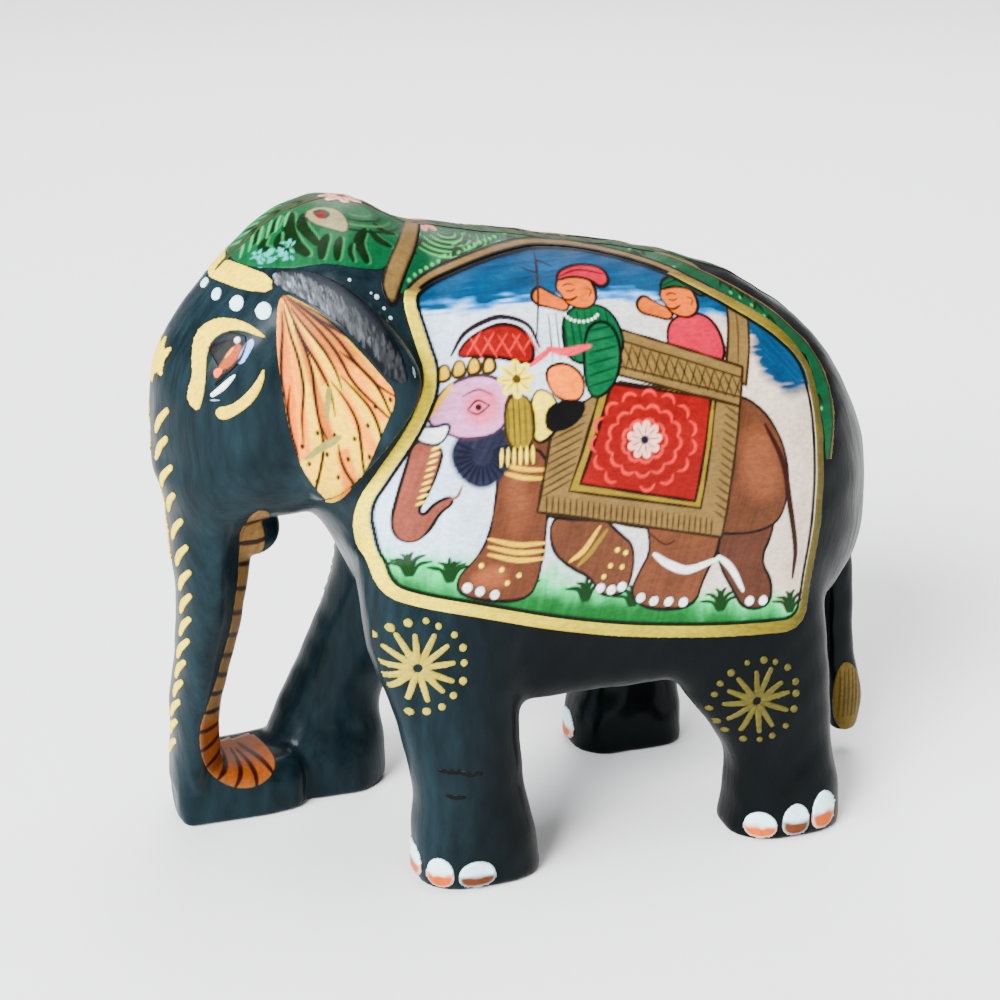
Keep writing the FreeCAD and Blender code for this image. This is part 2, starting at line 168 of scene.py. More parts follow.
def oval(u, v, wide, high, power):
    """Rough distance from a superellipse: negative inside."""
    ratio = (np.abs(u / wide) ** power + np.abs(v / high) ** power) ** (1 / power)
    ratio = np.maximum(ratio, 1e-3)
    reach = np.sqrt(u * u + v * v)
    return reach - np.maximum(reach / ratio, 1e-3)


def cross_limb(X, Y, Z, stations, power, end_round):
    """A limb that runs along y, through its stations."""
    along = Y.ravel()
    cx, cz, wide, high = (c[None, :, None] for c in hermite(stations, along))
    d = oval(X - cx, Z - cz, wide, high, power)
    ends = np.maximum(stations[0][0] - along, along - stations[-1][0])[None, :, None]
    return smooth_max(d, ends, end_round)


def level_limb(X, Y, Z, stations, power, end_round):
    """A limb that runs up z, through its stations."""
    along = Z.ravel()
    cx, cy, wide, long = (c[None, None, :] for c in hermite(stations, along))
    d = oval(X - cx, Y - cy, wide, long, power)
    ends = np.maximum(stations[0][0] - along, along - stations[-1][0])[None, None, :]
    return smooth_max(d, ends, end_round)


def trunk(X, Y, Z):
    """The trunk, with the corner towards the left hind foot pared off flat."""
    limb = level_limb(X, Y, Z, TRUNK, 2.4, 2.0)
    cx, cy, wide, long = (c[None, None, :] for c in hermite(TRUNK, Z.ravel()))
    reach = 0.78 * np.hypot(PARED[0] * wide, PARED[1] * long)
    return smooth_max(limb, PARED[0] * (X - cx) + PARED[1] * (Y - cy) - reach, 0.8)


def round_box(X, Y, Z, low, high, radius):
    """Distance from a box with rounded edges."""
    parts = []
    for grid, a, b in zip((X, Y, Z), low, high):
        parts.append(np.abs(grid - (a + b) / 2) - (b - a) / 2 + radius)
    outside = np.sqrt(sum(np.maximum(p, 0) ** 2 for p in parts))
    inside = np.minimum(np.maximum(np.maximum(parts[0], parts[1]), parts[2]), 0)
    return outside + inside - radius


def blob(X, Y, Z, centre, size):
    """Rough distance from an ellipsoid."""
    r = np.sqrt(sum(((g - c) / s) ** 2 for g, c, s in zip((X, Y, Z), centre, size)))
    return (r - 1) * min(size)


def polygon_distance(u, v, corners):
    """Signed distance of points from a closed outline: negative inside."""
    corners = np.array(corners, float)
    best = np.full(u.shape, 1e9)
    inside = np.zeros(u.shape, bool)
    for a, b in zip(corners, np.roll(corners, -1, axis=0)):
        e = b - a
        pu, pv = u - a[0], v - a[1]
        t = np.clip((pu * e[0] + pv * e[1]) / max(e @ e, 1e-12), 0, 1)
        best = np.minimum(best, (pu - t * e[0]) ** 2 + (pv - t * e[1]) ** 2)
        if a[1] != b[1]:
            crosses = (a[1] > v) != (b[1] > v)
            inside ^= crosses & (u < (b[0] - a[0]) * (v - a[1]) / (b[1] - a[1]) + a[0])
    return np.where(inside, -1.0, 1.0) * np.sqrt(best)


def rounded(corners, rounds=2):
    """Cuts the corners of a closed outline again and again, which rounds it."""
    points = np.array(corners, float)
    for _ in range(rounds):
        ahead = np.roll(points, -1, axis=0)
        points = np.stack([0.75 * points + 0.25 * ahead, 0.25 * points + 0.75 * ahead], 1)
        points = points.reshape(-1, 2)
    return points


def ear_flap(X, Y, Z, side):
    """A flap in relief: its outline seen from the side, and a face that leans in to the brow,
    where it sinks into the head."""
    y, z = np.meshgrid(Y.ravel(), Z.ravel(), indexing="ij")
    edge = polygon_distance(y, z, rounded(EAR))[None]
    face = EAR_FACE_REAR + EAR_SLOPE * (Y - EAR_REAR_Y)
    crown = 0.6 * np.sin(np.clip((Z - 66) / 36, 0, 1) * math.pi)
    over = side * X - face - crown
    relief = 0.5 + 10 * np.clip((Y + 46) / 20, 0, 1) ** 1.6
    head = cross_limb(X, Y, Z, HEAD, 2.25, 4.5)
    over = smooth_max(over, head - relief, 1.5)
    soft_rim = 1.8 + 6 * np.clip((Z - 82) / 16, 0, 1)
    flap = smooth_max(edge, over, soft_rim)
    return smooth_max(flap, EAR_ROOT - side * X, 1.0)


def tool_marks(X, Y, Z):
    """The slight unevenness that a knife and sandpaper leave, in mm."""
    return (
        0.16 * np.sin(Y * 0.41 + 1.3 + 0.9 * np.sin(Z * 0.17))
        * np.sin(Z * 0.33 + 0.7 + 0.8 * np.sin(Y * 0.13))
        * np.cos(X * 0.21)
        + 0.07 * np.sin(Y * 0.93 + X * 0.5 + 2.1) * np.sin(Z * 0.81 - X * 0.37)
    )


def blend_in(field, grids, box, shape, k):
    """Joins a shape to the field inside a box of the grid, to save time."""
    spans = []
    for g, a, b in zip(grids, box[0], box[1]):
        flat = g.ravel()
        spans.append(slice(int(np.searchsorted(flat, a)), int(np.searchsorted(flat, b))))
    X, Y, Z = grids[0][spans[0]], grids[1][:, spans[1]], grids[2][:, :, spans[2]]
    part = field[spans[0], spans[1], spans[2]]
    field[spans[0], spans[1], spans[2]] = smooth_min(part, shape(X, Y, Z), k)


def carve():
    """The whole block as a distance field on a grid."""
    low, high = np.array([-29.4, -66.28, -3]), np.array([29.0, 66, 113])
    axes = [np.arange(a, b + STEP, STEP, dtype=np.float32) for a, b in zip(low, high)]
    grids = (axes[0][:, None, None], axes[1][None, :, None], axes[2][None, None, :])
    field = np.full([len(a) for a in axes], 20.0, np.float32)
    whole = (low, high)
    blend_in(field, grids, whole, lambda *g: cross_limb(*g, TORSO, 2.35, 3.0), 0.5)
    blend_in(
        field, grids, ((-27, -30, 20), (27, 45, 75)),
        lambda *g: round_box(*g, GIRTH["low"], GIRTH["high"], GIRTH["round"]), 4.0,
    )
    blend_in(
        field, grids, ((-27, -66, 45), (27, -5, 113)),
        lambda *g: cross_limb(*g, HEAD, 2.25, 4.5), 4.0,
    )
    for name, stations in LEGS.items():
        side = 1 if name.endswith("left") else -1
        box_low = (-2 if side > 0 else -29, -50 if "front" in name else 5, -3)
        box_high = (29 if side > 0 else 2, 0 if "front" in name else 55, 62)
        blend_in(
            field, grids, (box_low, box_high),
            lambda *g: level_limb(*g, stations, 2.05 if name == "front_right" else 2.6, 1.0), 3.0,
        )
    blend_in(
        field, grids, ((-29, -66, -3), (20, -38, 75)),
        trunk, 4.5,
    )
    cut = round_box(*grids, SAW_CUT["low"], SAW_CUT["high"], SAW_CUT["round"])
    field = smooth_max(field, -cut, 0.8)
    blend_in(
        field, grids, ((-29, -66, -3), (5, -34, 22)),
        lambda *g: smooth_max(
            cross_limb(*g, TRUNK_TIP, 3.2, 2.5), g[0] + 7.6 + 0 * g[1] + 0 * g[2], 1.0
        ),
        1.2,
    )
    blend_in(
        field, grids, ((-10, -56, 46), (10, -40, 66)),
        lambda *g: blob(*g, LIP["centre"], LIP["size"]), 1.2,
    )
    blend_in(
        field, grids, ((-6, 40, 0), (6, 66, 72)),
        lambda *g: level_limb(*g, TAIL, 2.2, 1.5), 1.2,
    )
    field = field + tool_marks(*grids)
    for side in (1, -1):
        box = ((2, -52, 60), (29, -20, 109)) if side > 0 else ((-29, -52, 60), (-2, -20, 109))
        blend_in(field, grids, box, lambda *g: ear_flap(*g, side), 1.3)
    field = smooth_max(field, -grids[2] + 0 * field, 0.8)
    return field, axes


def surface_nets(field, axes):
    """A closed mesh of quads where the field is zero: one corner in each cell that it crosses."""
    inside = field < 0
    shape = [n - 1 for n in field.shape]
    total = np.zeros(shape, np.uint8)
    offsets = [(i, j, k) for i in (0, 1) for j in (0, 1) for k in (0, 1)]
    for i, j, k in offsets:
        total += inside[i:i + shape[0], j:j + shape[1], k:k + shape[2]]
    active = (total > 0) & (total < 8)
    index = np.full(shape, -1, np.int64)
    cells = np.argwhere(active)
    index[active] = np.arange(len(cells))
    where = np.zeros((len(cells), 3))
    count = np.zeros(len(cells))
    for a in offsets:
        for axis in range(3):
            if a[axis] == 1:
                continue
            b = tuple(c + (n == axis) for n, c in enumerate(a))
            fa = field[tuple((cells + a).T)]
            fb = field[tuple((cells + b).T)]
            crossed = (fa < 0) != (fb < 0)
            t = fa[crossed] / (fa[crossed] - fb[crossed])
            point = np.tile(np.array(a, float), (len(t), 1))
            point[:, axis] += t
            where[crossed] += point
            count[crossed] += 1
    where = (cells + where / count[:, None]) * STEP + np.array([a[0] for a in axes])
    quads = []
    for axis in range(3):
        first = [slice(1, n) for n in field.shape]
        first[axis] = slice(0, field.shape[axis] - 1)
        second = [slice(1, n) for n in field.shape]
        second[axis] = slice(1, field.shape[axis])
        here, there = inside[tuple(first)], inside[tuple(second)]
        edges = np.argwhere(here != there)
        flip = here[tuple(edges.T)]
        others = [n for n in range(3) if n != axis]
        base = edges.copy()
        base[:, others[0]] += 1
        base[:, others[1]] += 1
        ring = []
        for du, dv in ((-1, -1), (0, -1), (0, 0), (-1, 0)):
            cell = base.copy()
            cell[:, others[0]] += du
            cell[:, others[1]] += dv
            cell = np.minimum(cell, np.array(shape) - 1)
            ring.append(index[tuple(cell.T)])
        ring = np.stack(ring, 1)
        if axis == 1:
            flip = ~flip
        ring[~flip] = ring[~flip][:, ::-1]
        quads.append(ring)
    quads = np.concatenate(quads)
    return where, quads[(quads >= 0).all(1)]


def relax(points, quads, times):
    """Evens the corners out without shrinking the shape."""
    edges = np.concatenate([quads[:, [i, (i + 1) % 4]] for i in range(4)])
    for turn in range(times * 2):
        total = np.zeros_like(points)
        count = np.zeros(len(points))
        np.add.at(total, edges[:, 0], points[edges[:, 1]])
        np.add.at(total, edges[:, 1], points[edges[:, 0]])
        np.add.at(count, edges[:, 0], 1)
        np.add.at(count, edges[:, 1], 1)
        mean = total / count[:, None]
        points = points + (mean - points) * (0.5 if turn % 2 == 0 else -0.52)
    return points


def new_object(name, points, faces, smooth=True):
    """A mesh object from corners in mm."""
    mesh = bpy.data.meshes.new(name)
    mesh.from_pydata((np.asarray(points) * MM).tolist(), [], [list(map(int, f)) for f in faces])
    mesh.validate()
    mesh.polygons.foreach_set("use_smooth", [smooth] * len(mesh.polygons))
    made = bpy.data.objects.new(name, mesh)
    bpy.context.scene.collection.objects.link(made)
    return made


def carved_body():
    """The block as a mesh, and its corners and quads for the paint to be pressed onto."""
    field, axes = carve()
    points, quads = surface_nets(field, axes)
    points = relax(points, quads, 3)
    points[:, 2] = np.maximum(points[:, 2], 0)
    return new_object("elephant_body", points, quads), points, quads


body, body_points, body_quads = carved_body()


# ---------------------------------------------------------------- painting: tools
TONE_IN = np.array([[0.706, 0.224, 0.070], [0.096, 0.791, 0.113], [0.068, 0.137, 0.795]])
TONE_OUT = np.array([[0.744, 0.193, 0.063], [0.084, 0.895, 0.021], [0.071, 0.134, 0.795]])
TONE_STOPS = (-12.474, 4.026)
TONE_CURVE = (139.19, -411.63, 463.73, -245.9, 62.25, -6.035)
STUDIO = 3.0                  # light that a white wall here sends back, on the tone curve's scale
SHEEN = 0.009                 # what the paint's gloss adds to its colour


def tint(red, green, blue):
    """The pigment that looks like this display colour in the studio's light: the view's tone
    curve, run backwards. A colour too strong for paint is greyed a little, in its own hue."""
    x = np.linspace(0.15, 0.88, 400)
    curve_line = np.polyval(TONE_CURVE, x)
    goal = np.clip([red, green, blue], 3, 250) / 255
    for fade in np.linspace(0, 0.6, 25):
        seen = TONE_OUT @ (goal + fade * (goal @ [0.3, 0.59, 0.11] - goal))
        stops = np.interp(seen, curve_line, x)
        light = 2.0 ** (TONE_STOPS[0] + stops * (TONE_STOPS[1] - TONE_STOPS[0]))
        pigment = np.linalg.inv(TONE_IN) @ light / STUDIO - SHEEN
        if pigment.min() > -SHEEN:
            break
    return np.clip(pigment * min(1, 0.93 / max(pigment.max(), 0.01)), 0.0004, 0.93)


def curve(points, steps=8):
    """A smooth line through a few points."""
    p = np.array(points, float)
    if len(p) < 3:
        return p
    p = np.concatenate([2 * p[:1] - p[1:2], p, 2 * p[-1:] - p[-2:-1]])
    t = np.linspace(0, 1, steps, endpoint=False)[:, None]
    out = []
    for a, b, c, d in zip(p, p[1:], p[2:], p[3:]):
        cubic = (-a + 3 * b - 3 * c + d) * t**3 + (2 * a - 5 * b + 4 * c - d) * t**2
        out.append(0.5 * (cubic + (c - a) * t + 2 * b))
    return np.concatenate(out + [p[-2:-1]])


def lattice(u, v, size_u, size_v, seed):
    """Smooth noise from -1 to 1, on cells of this size in mm."""
    rng = np.random.default_rng(SEED + seed)
    table = rng.uniform(-1, 1, (64, 64))
    a, b = u / size_u + 1000, v / size_v + 1000
    i, j = np.floor(a).astype(int), np.floor(b).astype(int)
    s, t = a - i, b - j
    s, t = s * s * (3 - 2 * s), t * t * (3 - 2 * t)
    c00, c10 = table[i % 64, j % 64], table[(i + 1) % 64, j % 64]
    c01, c11 = table[i % 64, (j + 1) % 64], table[(i + 1) % 64, (j + 1) % 64]
    return (c00 * (1 - s) + c10 * s) * (1 - t) + (c01 * (1 - s) + c11 * s) * t


def streaks(u, v, angle, seed):
    """Brush marks that run this way, from -1 to 1."""
    a = math.radians(angle)
    along = u * math.cos(a) + v * math.sin(a)
    across = v * math.cos(a) - u * math.sin(a)
    return 0.6 * lattice(along, across, 5.0, 0.35, seed) + 0.4 * lattice(along, across, 9, 1.1, seed + 1)


class Canvas:
    """A plane that paint is laid out on, square to this direction. side -1 is its mirror image."""

    def __init__(self, azimuth, elevation, side=1):
        a, e = math.radians(azimuth), math.radians(elevation)
        flip = Vector((side, 1, 1))
        back = Vector((math.sin(a) * math.cos(e), -math.cos(a) * math.cos(e), math.sin(e)))
        across = Vector((math.cos(a), math.sin(a), 0))
        self.side = side
        self.up = back.cross(across) * flip
        self.across = across * flip
        self.back = back * flip

    def drop(self, u, v):
        """Where paint at this place meets the wood, and the way it faces there."""
        start = self.across * u + self.up * v + self.back * 150
        return WOOD.ray_cast(start, -self.back)


WHOLE = (slice(None), slice(None))       # every place of a sheet


class Sheet:
    """A coat of paint: a fine grid with a colour and a height at each place."""

    def __init__(self, low, high, cell):
        cell = cell * 1
        self.cell = cell
        self.us = np.arange(low[0], high[0] + cell, cell)
        self.vs = np.arange(low[1], high[1] + cell, cell)
        self.u, self.v = np.meshgrid(self.us, self.vs, indexing="ij")
        self.rgb = np.zeros(self.u.shape + (3,))
        self.high = np.zeros(self.u.shape)
        self.edge = np.full(self.u.shape, 1e3)
        self.seed = 0

    def window(self, points, margin):
        """The part of the grid round these points."""
        p = np.array(points, float)
        spans = []
        for knots, a, b in zip((self.us, self.vs), p.min(0) - margin, p.max(0) + margin):
            i, j = np.searchsorted(knots, (a, b))
            spans.append(slice(int(i), int(max(j, i + 1))))
        return tuple(spans)

    def lay(self, spans, d, rgb, high, vary, angle, grow, soft=None):
        """Lays one colour where d is below zero."""
        if d.size == 0:
            return
        self.seed += 7
        cover = np.clip(0.5 - d / (soft or self.cell), 0, 1)[..., None]
        u, v = self.u[spans], self.v[spans]
        shade = 1 + vary * streaks(u, v, angle, self.seed % 50)[..., None]
        self.rgb[spans] += (tint(*rgb) * shade - self.rgb[spans]) * cover
        self.high[spans] += (high - self.high[spans]) * cover[..., 0]
        if grow:
            self.edge[spans] = np.minimum(self.edge[spans], d)

    def wash(self, d, rgb, high, vary, angle, soft=None):
        """Lays one colour on the whole sheet where d is below zero, within the coat as it is."""
        self.lay(WHOLE, d, rgb, high, vary, angle, False, soft)

    def patch(self, points, rgb, high=0.04, vary=0.1, angle=0, grow=True, turns=2, soft=None):
        """Fills an outline, with its corners cut round this many times."""
        corners = rounded(points, turns) if turns else np.array(points, float)
        spans = self.window(corners, 0.8 + (soft or 0))
        d = polygon_distance(self.u[spans], self.v[spans], corners)
        self.lay(spans, d, rgb, high, vary, angle, grow, soft)

    def stroke(self, points, wide, rgb, high=0.06, vary=0.12, ends=(0.35, 0.35), grow=True, soft=None):
        """A brush stroke along a smooth line, this wide in its middle and thinner to its ends."""
        line = curve(points)
        spans = self.window(line, wide + 0.5)
        u, v = self.u[spans], self.v[spans]
        best = np.full(u.shape, 1e3)
        n = len(line) - 1
        for k in range(n):
            a, b = line[k], line[k + 1]
            e = b - a
            t = np.clip(((u - a[0]) * e[0] + (v - a[1]) * e[1]) / max(e @ e, 1e-9), 0, 1)
            s = (k + t) / n
            swell = np.sin(np.clip(s, 0, 1) * math.pi) ** 0.6
            thin = ends[0] * (1 - s) + ends[1] * s
            reach = wide / 2 * (thin + (1 - thin) * swell)
            gap = np.hypot(u - a[0] - t * e[0], v - a[1] - t * e[1]) - reach
            best = np.minimum(best, gap)
        angle = math.degrees(math.atan2(*(line[-1] - line[0])[::-1]))
        self.lay(spans, best, rgb, high, vary, angle, grow, soft)

    def dot(self, centre, radius, rgb, high=0.16, vary=0.05, grow=True):
        """A round dab."""
        spans = self.window([centre], radius + 0.6)
        d = np.hypot(self.u[spans] - centre[0], self.v[spans] - centre[1]) - radius
        self.lay(spans, d, rgb, high, vary, 20, grow)

    def trim(self, outline, turns=2):
        """Keeps the coat inside this outline."""
        self.edge = np.maximum(self.edge, polygon_distance(self.u, self.v, rounded(outline, turns)))

    def make(self, name, canvas, material, nodes=(), lift=0.07, keep=None, facing=0.06):
        """Presses the coat onto the wood as a thin closed mesh."""
        gu, gv = np.gradient(self.edge, self.cell)
        near = (np.abs(self.edge) < 0.7 * self.cell) & (np.hypot(gu, gv) < 1.5)
        u = self.u - np.where(near, self.edge * gu, 0)
        v = self.v - np.where(near, self.edge * gv, 0)
        inside = near | (self.edge < 0)
        spots = np.argwhere(inside)
        points = np.zeros((len(spots), 3))
        normals = np.zeros((len(spots), 3))
        met = np.zeros(len(spots), bool)
        for n, (i, j) in enumerate(spots):
            place, normal, _, _ = canvas.drop(u[i, j], v[i, j])
            if place is None or normal.dot(canvas.back) < facing:
                continue
            if keep is not None and not keep(place):
                continue
            points[n], normals[n], met[n] = place, normal, True
        index = np.full(self.edge.shape, -1)
        index[tuple(spots[met].T)] = np.arange(met.sum())
        rgb, high = self.rgb[tuple(spots[met].T)], self.high[tuple(spots[met].T)]
        points, normals = points[met], normals[met]
        quads = np.stack([index[:-1, :-1], index[1:, :-1], index[1:, 1:], index[:-1, 1:]], -1)
        quads = quads.reshape(-1, 4)
        quads = quads[(quads >= 0).all(1)]
        for a, b in ((0, 2), (1, 3)):
            long = np.linalg.norm(points[quads[:, a]] - points[quads[:, b]], axis=1)
            quads = quads[long < 7 * self.cell]
        return shell(name, points, normals, rgb, high, quads, canvas.side, material, nodes, lift)


SUNK = 0.25                   # how far a coat's under side lies in the wood, mm


def rim_of(quads):
    """The edges, in their own direction, that belong to one quad only."""
    edges = np.concatenate([quads[:, [i, (i + 1) % 4]] for i in range(4)])
    keys = np.sort(edges, 1)
    _, inverse, count = np.unique(keys, axis=0, return_inverse=True, return_counts=True)
    return edges[count[inverse.ravel()] == 1]


def manifold(quads):
    """Drops the quads that would touch the rest at one corner only."""
    for _ in range(6):
        rim = rim_of(quads)
        starts = np.bincount(rim[:, 0], minlength=int(quads.max()) + 1) if len(quads) else []
        bad = np.flatnonzero(np.asarray(starts) > 1)
        if len(bad) == 0:
            break
        quads = quads[~np.isin(quads, bad).any(1)]
    return quads


def shell(name, points, normals, rgb, high, quads, side, material, nodes, lift):
    """A closed film: its top in relief, its under side in the wood, and walls round the rim."""
    quads = manifold(quads)
    if side < 0:
        quads = quads[:, ::-1]
    used, flat = np.unique(quads, return_inverse=True)
    quads = flat.reshape(-1, 4)
    points, rgb, high = points[used], rgb[used], high[used]
    soft = normals[used].copy()
    for _ in range(2):
        total = soft.copy()
        for i in range(4):
            np.add.at(total, quads[:, i], soft[quads[:, (i + 1) % 4]])
            np.add.at(total, quads[:, i], soft[quads[:, (i + 3) % 4]])
        soft = total / np.linalg.norm(total, axis=1)[:, None]
    rim = rim_of(quads)
    fall = np.zeros(len(points), bool)
    fall[rim.ravel()] = True
    top = points + soft * (lift + np.where(fall, 0.0, high))[:, None]
    under = points - soft * SUNK
    n = len(points)
    walls = np.stack([rim[:, 1], rim[:, 0], rim[:, 0] + n, rim[:, 1] + n], 1)
    faces = np.concatenate([quads, quads[:, ::-1] + n, walls])
    mesh = bpy.data.meshes.new(name)
    mesh.from_pydata((np.concatenate([top, under]) * MM).tolist(), [], faces.tolist())
    mesh.polygons.foreach_set("use_smooth", [True] * len(mesh.polygons))
    colour = mesh.color_attributes.new("paint", "FLOAT_COLOR", "POINT")
    both = np.ones((2 * n, 4))
    both[:n, :3] = np.clip(rgb, 0.0004, 1)
    both[n:, :3] = both[:n, :3]
    colour.data.foreach_set("color", both.ravel())
    piece = bpy.data.objects.new(name, mesh)
    bpy.context.scene.collection.objects.link(piece)
    return own(piece, material, nodes)


def once(side, name):
    """The left half of a coat in two halves replaces its one CAD node."""
    return [name] if side > 0 else []


def own(piece, material, nodes=()):
    """Gives a piece its material and the CAD nodes that it stands for."""
    piece.data.materials.clear()
    piece.data.materials.append(material)
    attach(piece, "root")
    if nodes:
        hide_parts(*nodes)
    return piece


# ---------------------------------------------------------------- materials
def node(tree, kind, **values):
    made = tree.nodes.new(kind)
    for key, value in values.items():
        setattr(made, key, value)
    return made


def noise_of(tree, scale, stretch, detail=6.0, rough=0.6):
    """Noise in the object's own place, drawn out along some axes."""
    place = node(tree, "ShaderNodeTexCoord")
    mapping = node(tree, "ShaderNodeMapping")
    mapping.inputs["Scale"].default_value = stretch
    noise = node(tree, "ShaderNodeTexNoise")
    noise.inputs["Scale"].default_value = scale
    noise.inputs["Detail"].default_value = detail
    noise.inputs["Roughness"].default_value = rough
    tree.links.new(place.outputs["Object"], mapping.inputs["Vector"])
    tree.links.new(mapping.outputs["Vector"], noise.inputs["Vector"])
    return noise.outputs["Fac"]


def ramp(tree, value, stops):
    made = node(tree, "ShaderNodeValToRGB")
    while len(made.color_ramp.elements) < len(stops):
        made.color_ramp.elements.new(0.5)
    for element, (at, colour) in zip(made.color_ramp.elements, stops):
        element.position = at
        element.color = (*colour, 1)
    tree.links.new(value, made.inputs["Fac"])
    return made.outputs["Color"]


def mix(tree, kind, amount, a, b):
    made = node(tree, "ShaderNodeMix", data_type="RGBA", blend_type=kind)
    for socket, value in ((made.inputs[0], amount), (made.inputs[6], a), (made.inputs[7], b)):
        if isinstance(value, (int, float)):
            socket.default_value = value
        elif isinstance(value, tuple):
            socket.default_value = (*value, 1)
        else:
            tree.links.new(value, socket)
    return made.outputs[2]


def grey(level):
    return (level, level, level)


def bump(tree, heights, shader):
    """Adds bumps one over the other: (height socket, strength, depth in m)."""
    last = None
    for height, strength, depth in heights:
        made = node(tree, "ShaderNodeBump")
        made.inputs["Strength"].default_value = strength
        made.inputs["Distance"].default_value = depth
        tree.links.new(height, made.inputs["Height"])
        if last is not None:
            tree.links.new(last, made.inputs["Normal"])
        last = made.outputs["Normal"]
    tree.links.new(last, shader.inputs["Normal"])


def start_material(name):
    made = bpy.data.materials.new(name)
    made.use_nodes = True
    return made, made.node_tree, made.node_tree.nodes["Principled BSDF"]


# Painted light: the front of the body is painted a lighter teal, as if lit, and the rear black.
PAINTED_LIGHT_FULL, PAINTED_LIGHT_END = -0.012, 0.008       # the painted light fades from this y to this y, in metres
PAINTED_LIGHT_DEEP, PAINTED_LIGHT_PALE = (0.0020, 0.0048, 0.0064), (0.0058, 0.0145, 0.0190)
BLACK = (0.0004, 0.0005, 0.0005)


def enamel():
    """Gloss black brushed over carved wood: a lighter teal in front, which is painted light, fading to black
    behind; streaks, dust and places of wear.
    """
    made, tree, shader = start_material("black_enamel")
    broad = noise_of(tree, 60, (1, 1, 0.5), 4)
    streak = noise_of(tree, 900, (1, 0.35, 0.09), 5)
    speck = noise_of(tree, 1500, (1, 1, 1), 3)
    base = ramp(tree, broad, [(0.32, PAINTED_LIGHT_DEEP), (0.7, PAINTED_LIGHT_PALE)])
    place = node(tree, "ShaderNodeTexCoord")
    axes = node(tree, "ShaderNodeSeparateXYZ")
    tree.links.new(place.outputs["Object"], axes.inputs[0])
    ragged = node(tree, "ShaderNodeMath", operation="MULTIPLY_ADD")
    ragged.inputs[1].default_value = 0.03
    tree.links.new(broad, ragged.inputs[0])
    tree.links.new(axes.outputs["Y"], ragged.inputs[2])
    # Painted light: lighter teal in front, fading to black towards the rear.
    painted_light = node(tree, "ShaderNodeMapRange", interpolation_type="SMOOTHSTEP")
    painted_light.inputs["From Min"].default_value = PAINTED_LIGHT_FULL
    painted_light.inputs["From Max"].default_value = PAINTED_LIGHT_END
    tree.links.new(ragged.outputs[0], painted_light.inputs["Value"])
    base = mix(tree, "MIX", painted_light.outputs["Result"], base, BLACK)
    brushed = ramp(tree, streak, [(0.35, grey(0.55)), (0.7, grey(1.6))])
    base = mix(tree, "MULTIPLY", 0.8, base, brushed)
    # Real wear: paler specks where the enamel has rubbed.
    wear_and_painted_light = ramp(tree, speck, [(0.73, grey(0.0)), (0.78, grey(0.35))])
    base = mix(tree, "MIX", wear_and_painted_light, base, (0.02, 0.026, 0.028))
    tree.links.new(base, shader.inputs["Base Color"])
    rough = ramp(tree, streak, [(0.3, grey(0.30)), (0.75, grey(0.50))])
    tree.links.new(rough, shader.inputs["Roughness"])
    shader.inputs["Specular IOR Level"].default_value = 0.05
    shader.inputs["Specular Tint"].default_value = (0.55, 0.85, 1.0, 1)
    shader.inputs["Coat Weight"].default_value = 0.07
    shader.inputs["Coat Roughness"].default_value = 0.16
    bump(tree, [(streak, 0.35, 0.0003), (broad, 0.35, 0.001), (speck, 0.12, 0.0002)], shader)
    return made


def brushed_paint(name, rough_low, rough_high, spread=0.25):
    """Opaque paint in the coat's own colours, with brush marks and fine dirt."""
    made, tree, shader = start_material(name)
    colour = node(tree, "ShaderNodeAttribute", attribute_name="paint").outputs["Color"]
    fine = noise_of(tree, 1700, (1, 0.5, 1), 4)
    wide = noise_of(tree, 180, (1, 1, 1), 4)
    shade = ramp(tree, fine, [(0.3, grey(1 - spread)), (0.7, grey(1.0 + 0.4 * spread))])
    dirt = ramp(tree, wide, [(0.3, grey(0.86)), (0.6, grey(1.0))])
    colour = mix(tree, "MULTIPLY", 1.0, colour, shade)
    colour = mix(tree, "MULTIPLY", 1.0, colour, dirt)
    tree.links.new(colour, shader.inputs["Base Color"])
    rough = ramp(tree, wide, [(0.3, grey(rough_low)), (0.7, grey(rough_high))])
    tree.links.new(rough, shader.inputs["Roughness"])
    shader.inputs["Specular IOR Level"].default_value = 0.1
    bump(tree, [(fine, 0.3, 0.00015), (wide, 0.2, 0.0004)], shader)
    return made


# ---------------------------------------------------------------- colours
WHITE = (236, 238, 236)
CREAM = (236, 222, 172)
GOLD = (222, 200, 128)
OLD_GOLD = (186, 160, 82)
TAN = (172, 142, 96)
INK = (22, 18, 18)
BROWN = (140, 84, 58)
PINK_BROWN = (186, 116, 96)
SKY = (0, 122, 190)
GRASS = (70, 165, 95)
GREEN = (48, 126, 78)
DARK_GREEN = (12, 52, 30)
RED = (222, 40, 40)
PINK = (232, 120, 104)
ORANGE = (238, 152, 74)
LILAC = (214, 190, 206)
BRIGHT_GOLD = (232, 214, 140)
BRUSH_WHITE = (226, 238, 240)
SADDLE_INK = (66, 44, 26)
FRINGE = (84, 58, 32)
SASH = (234, 130, 136)
PALE_GREEN = (138, 194, 140)
NAIL_ORANGE = (230, 138, 66)
NAIL_BROWN = (150, 82, 52)
LINE = 0.46                  # width of a fine outline, mm


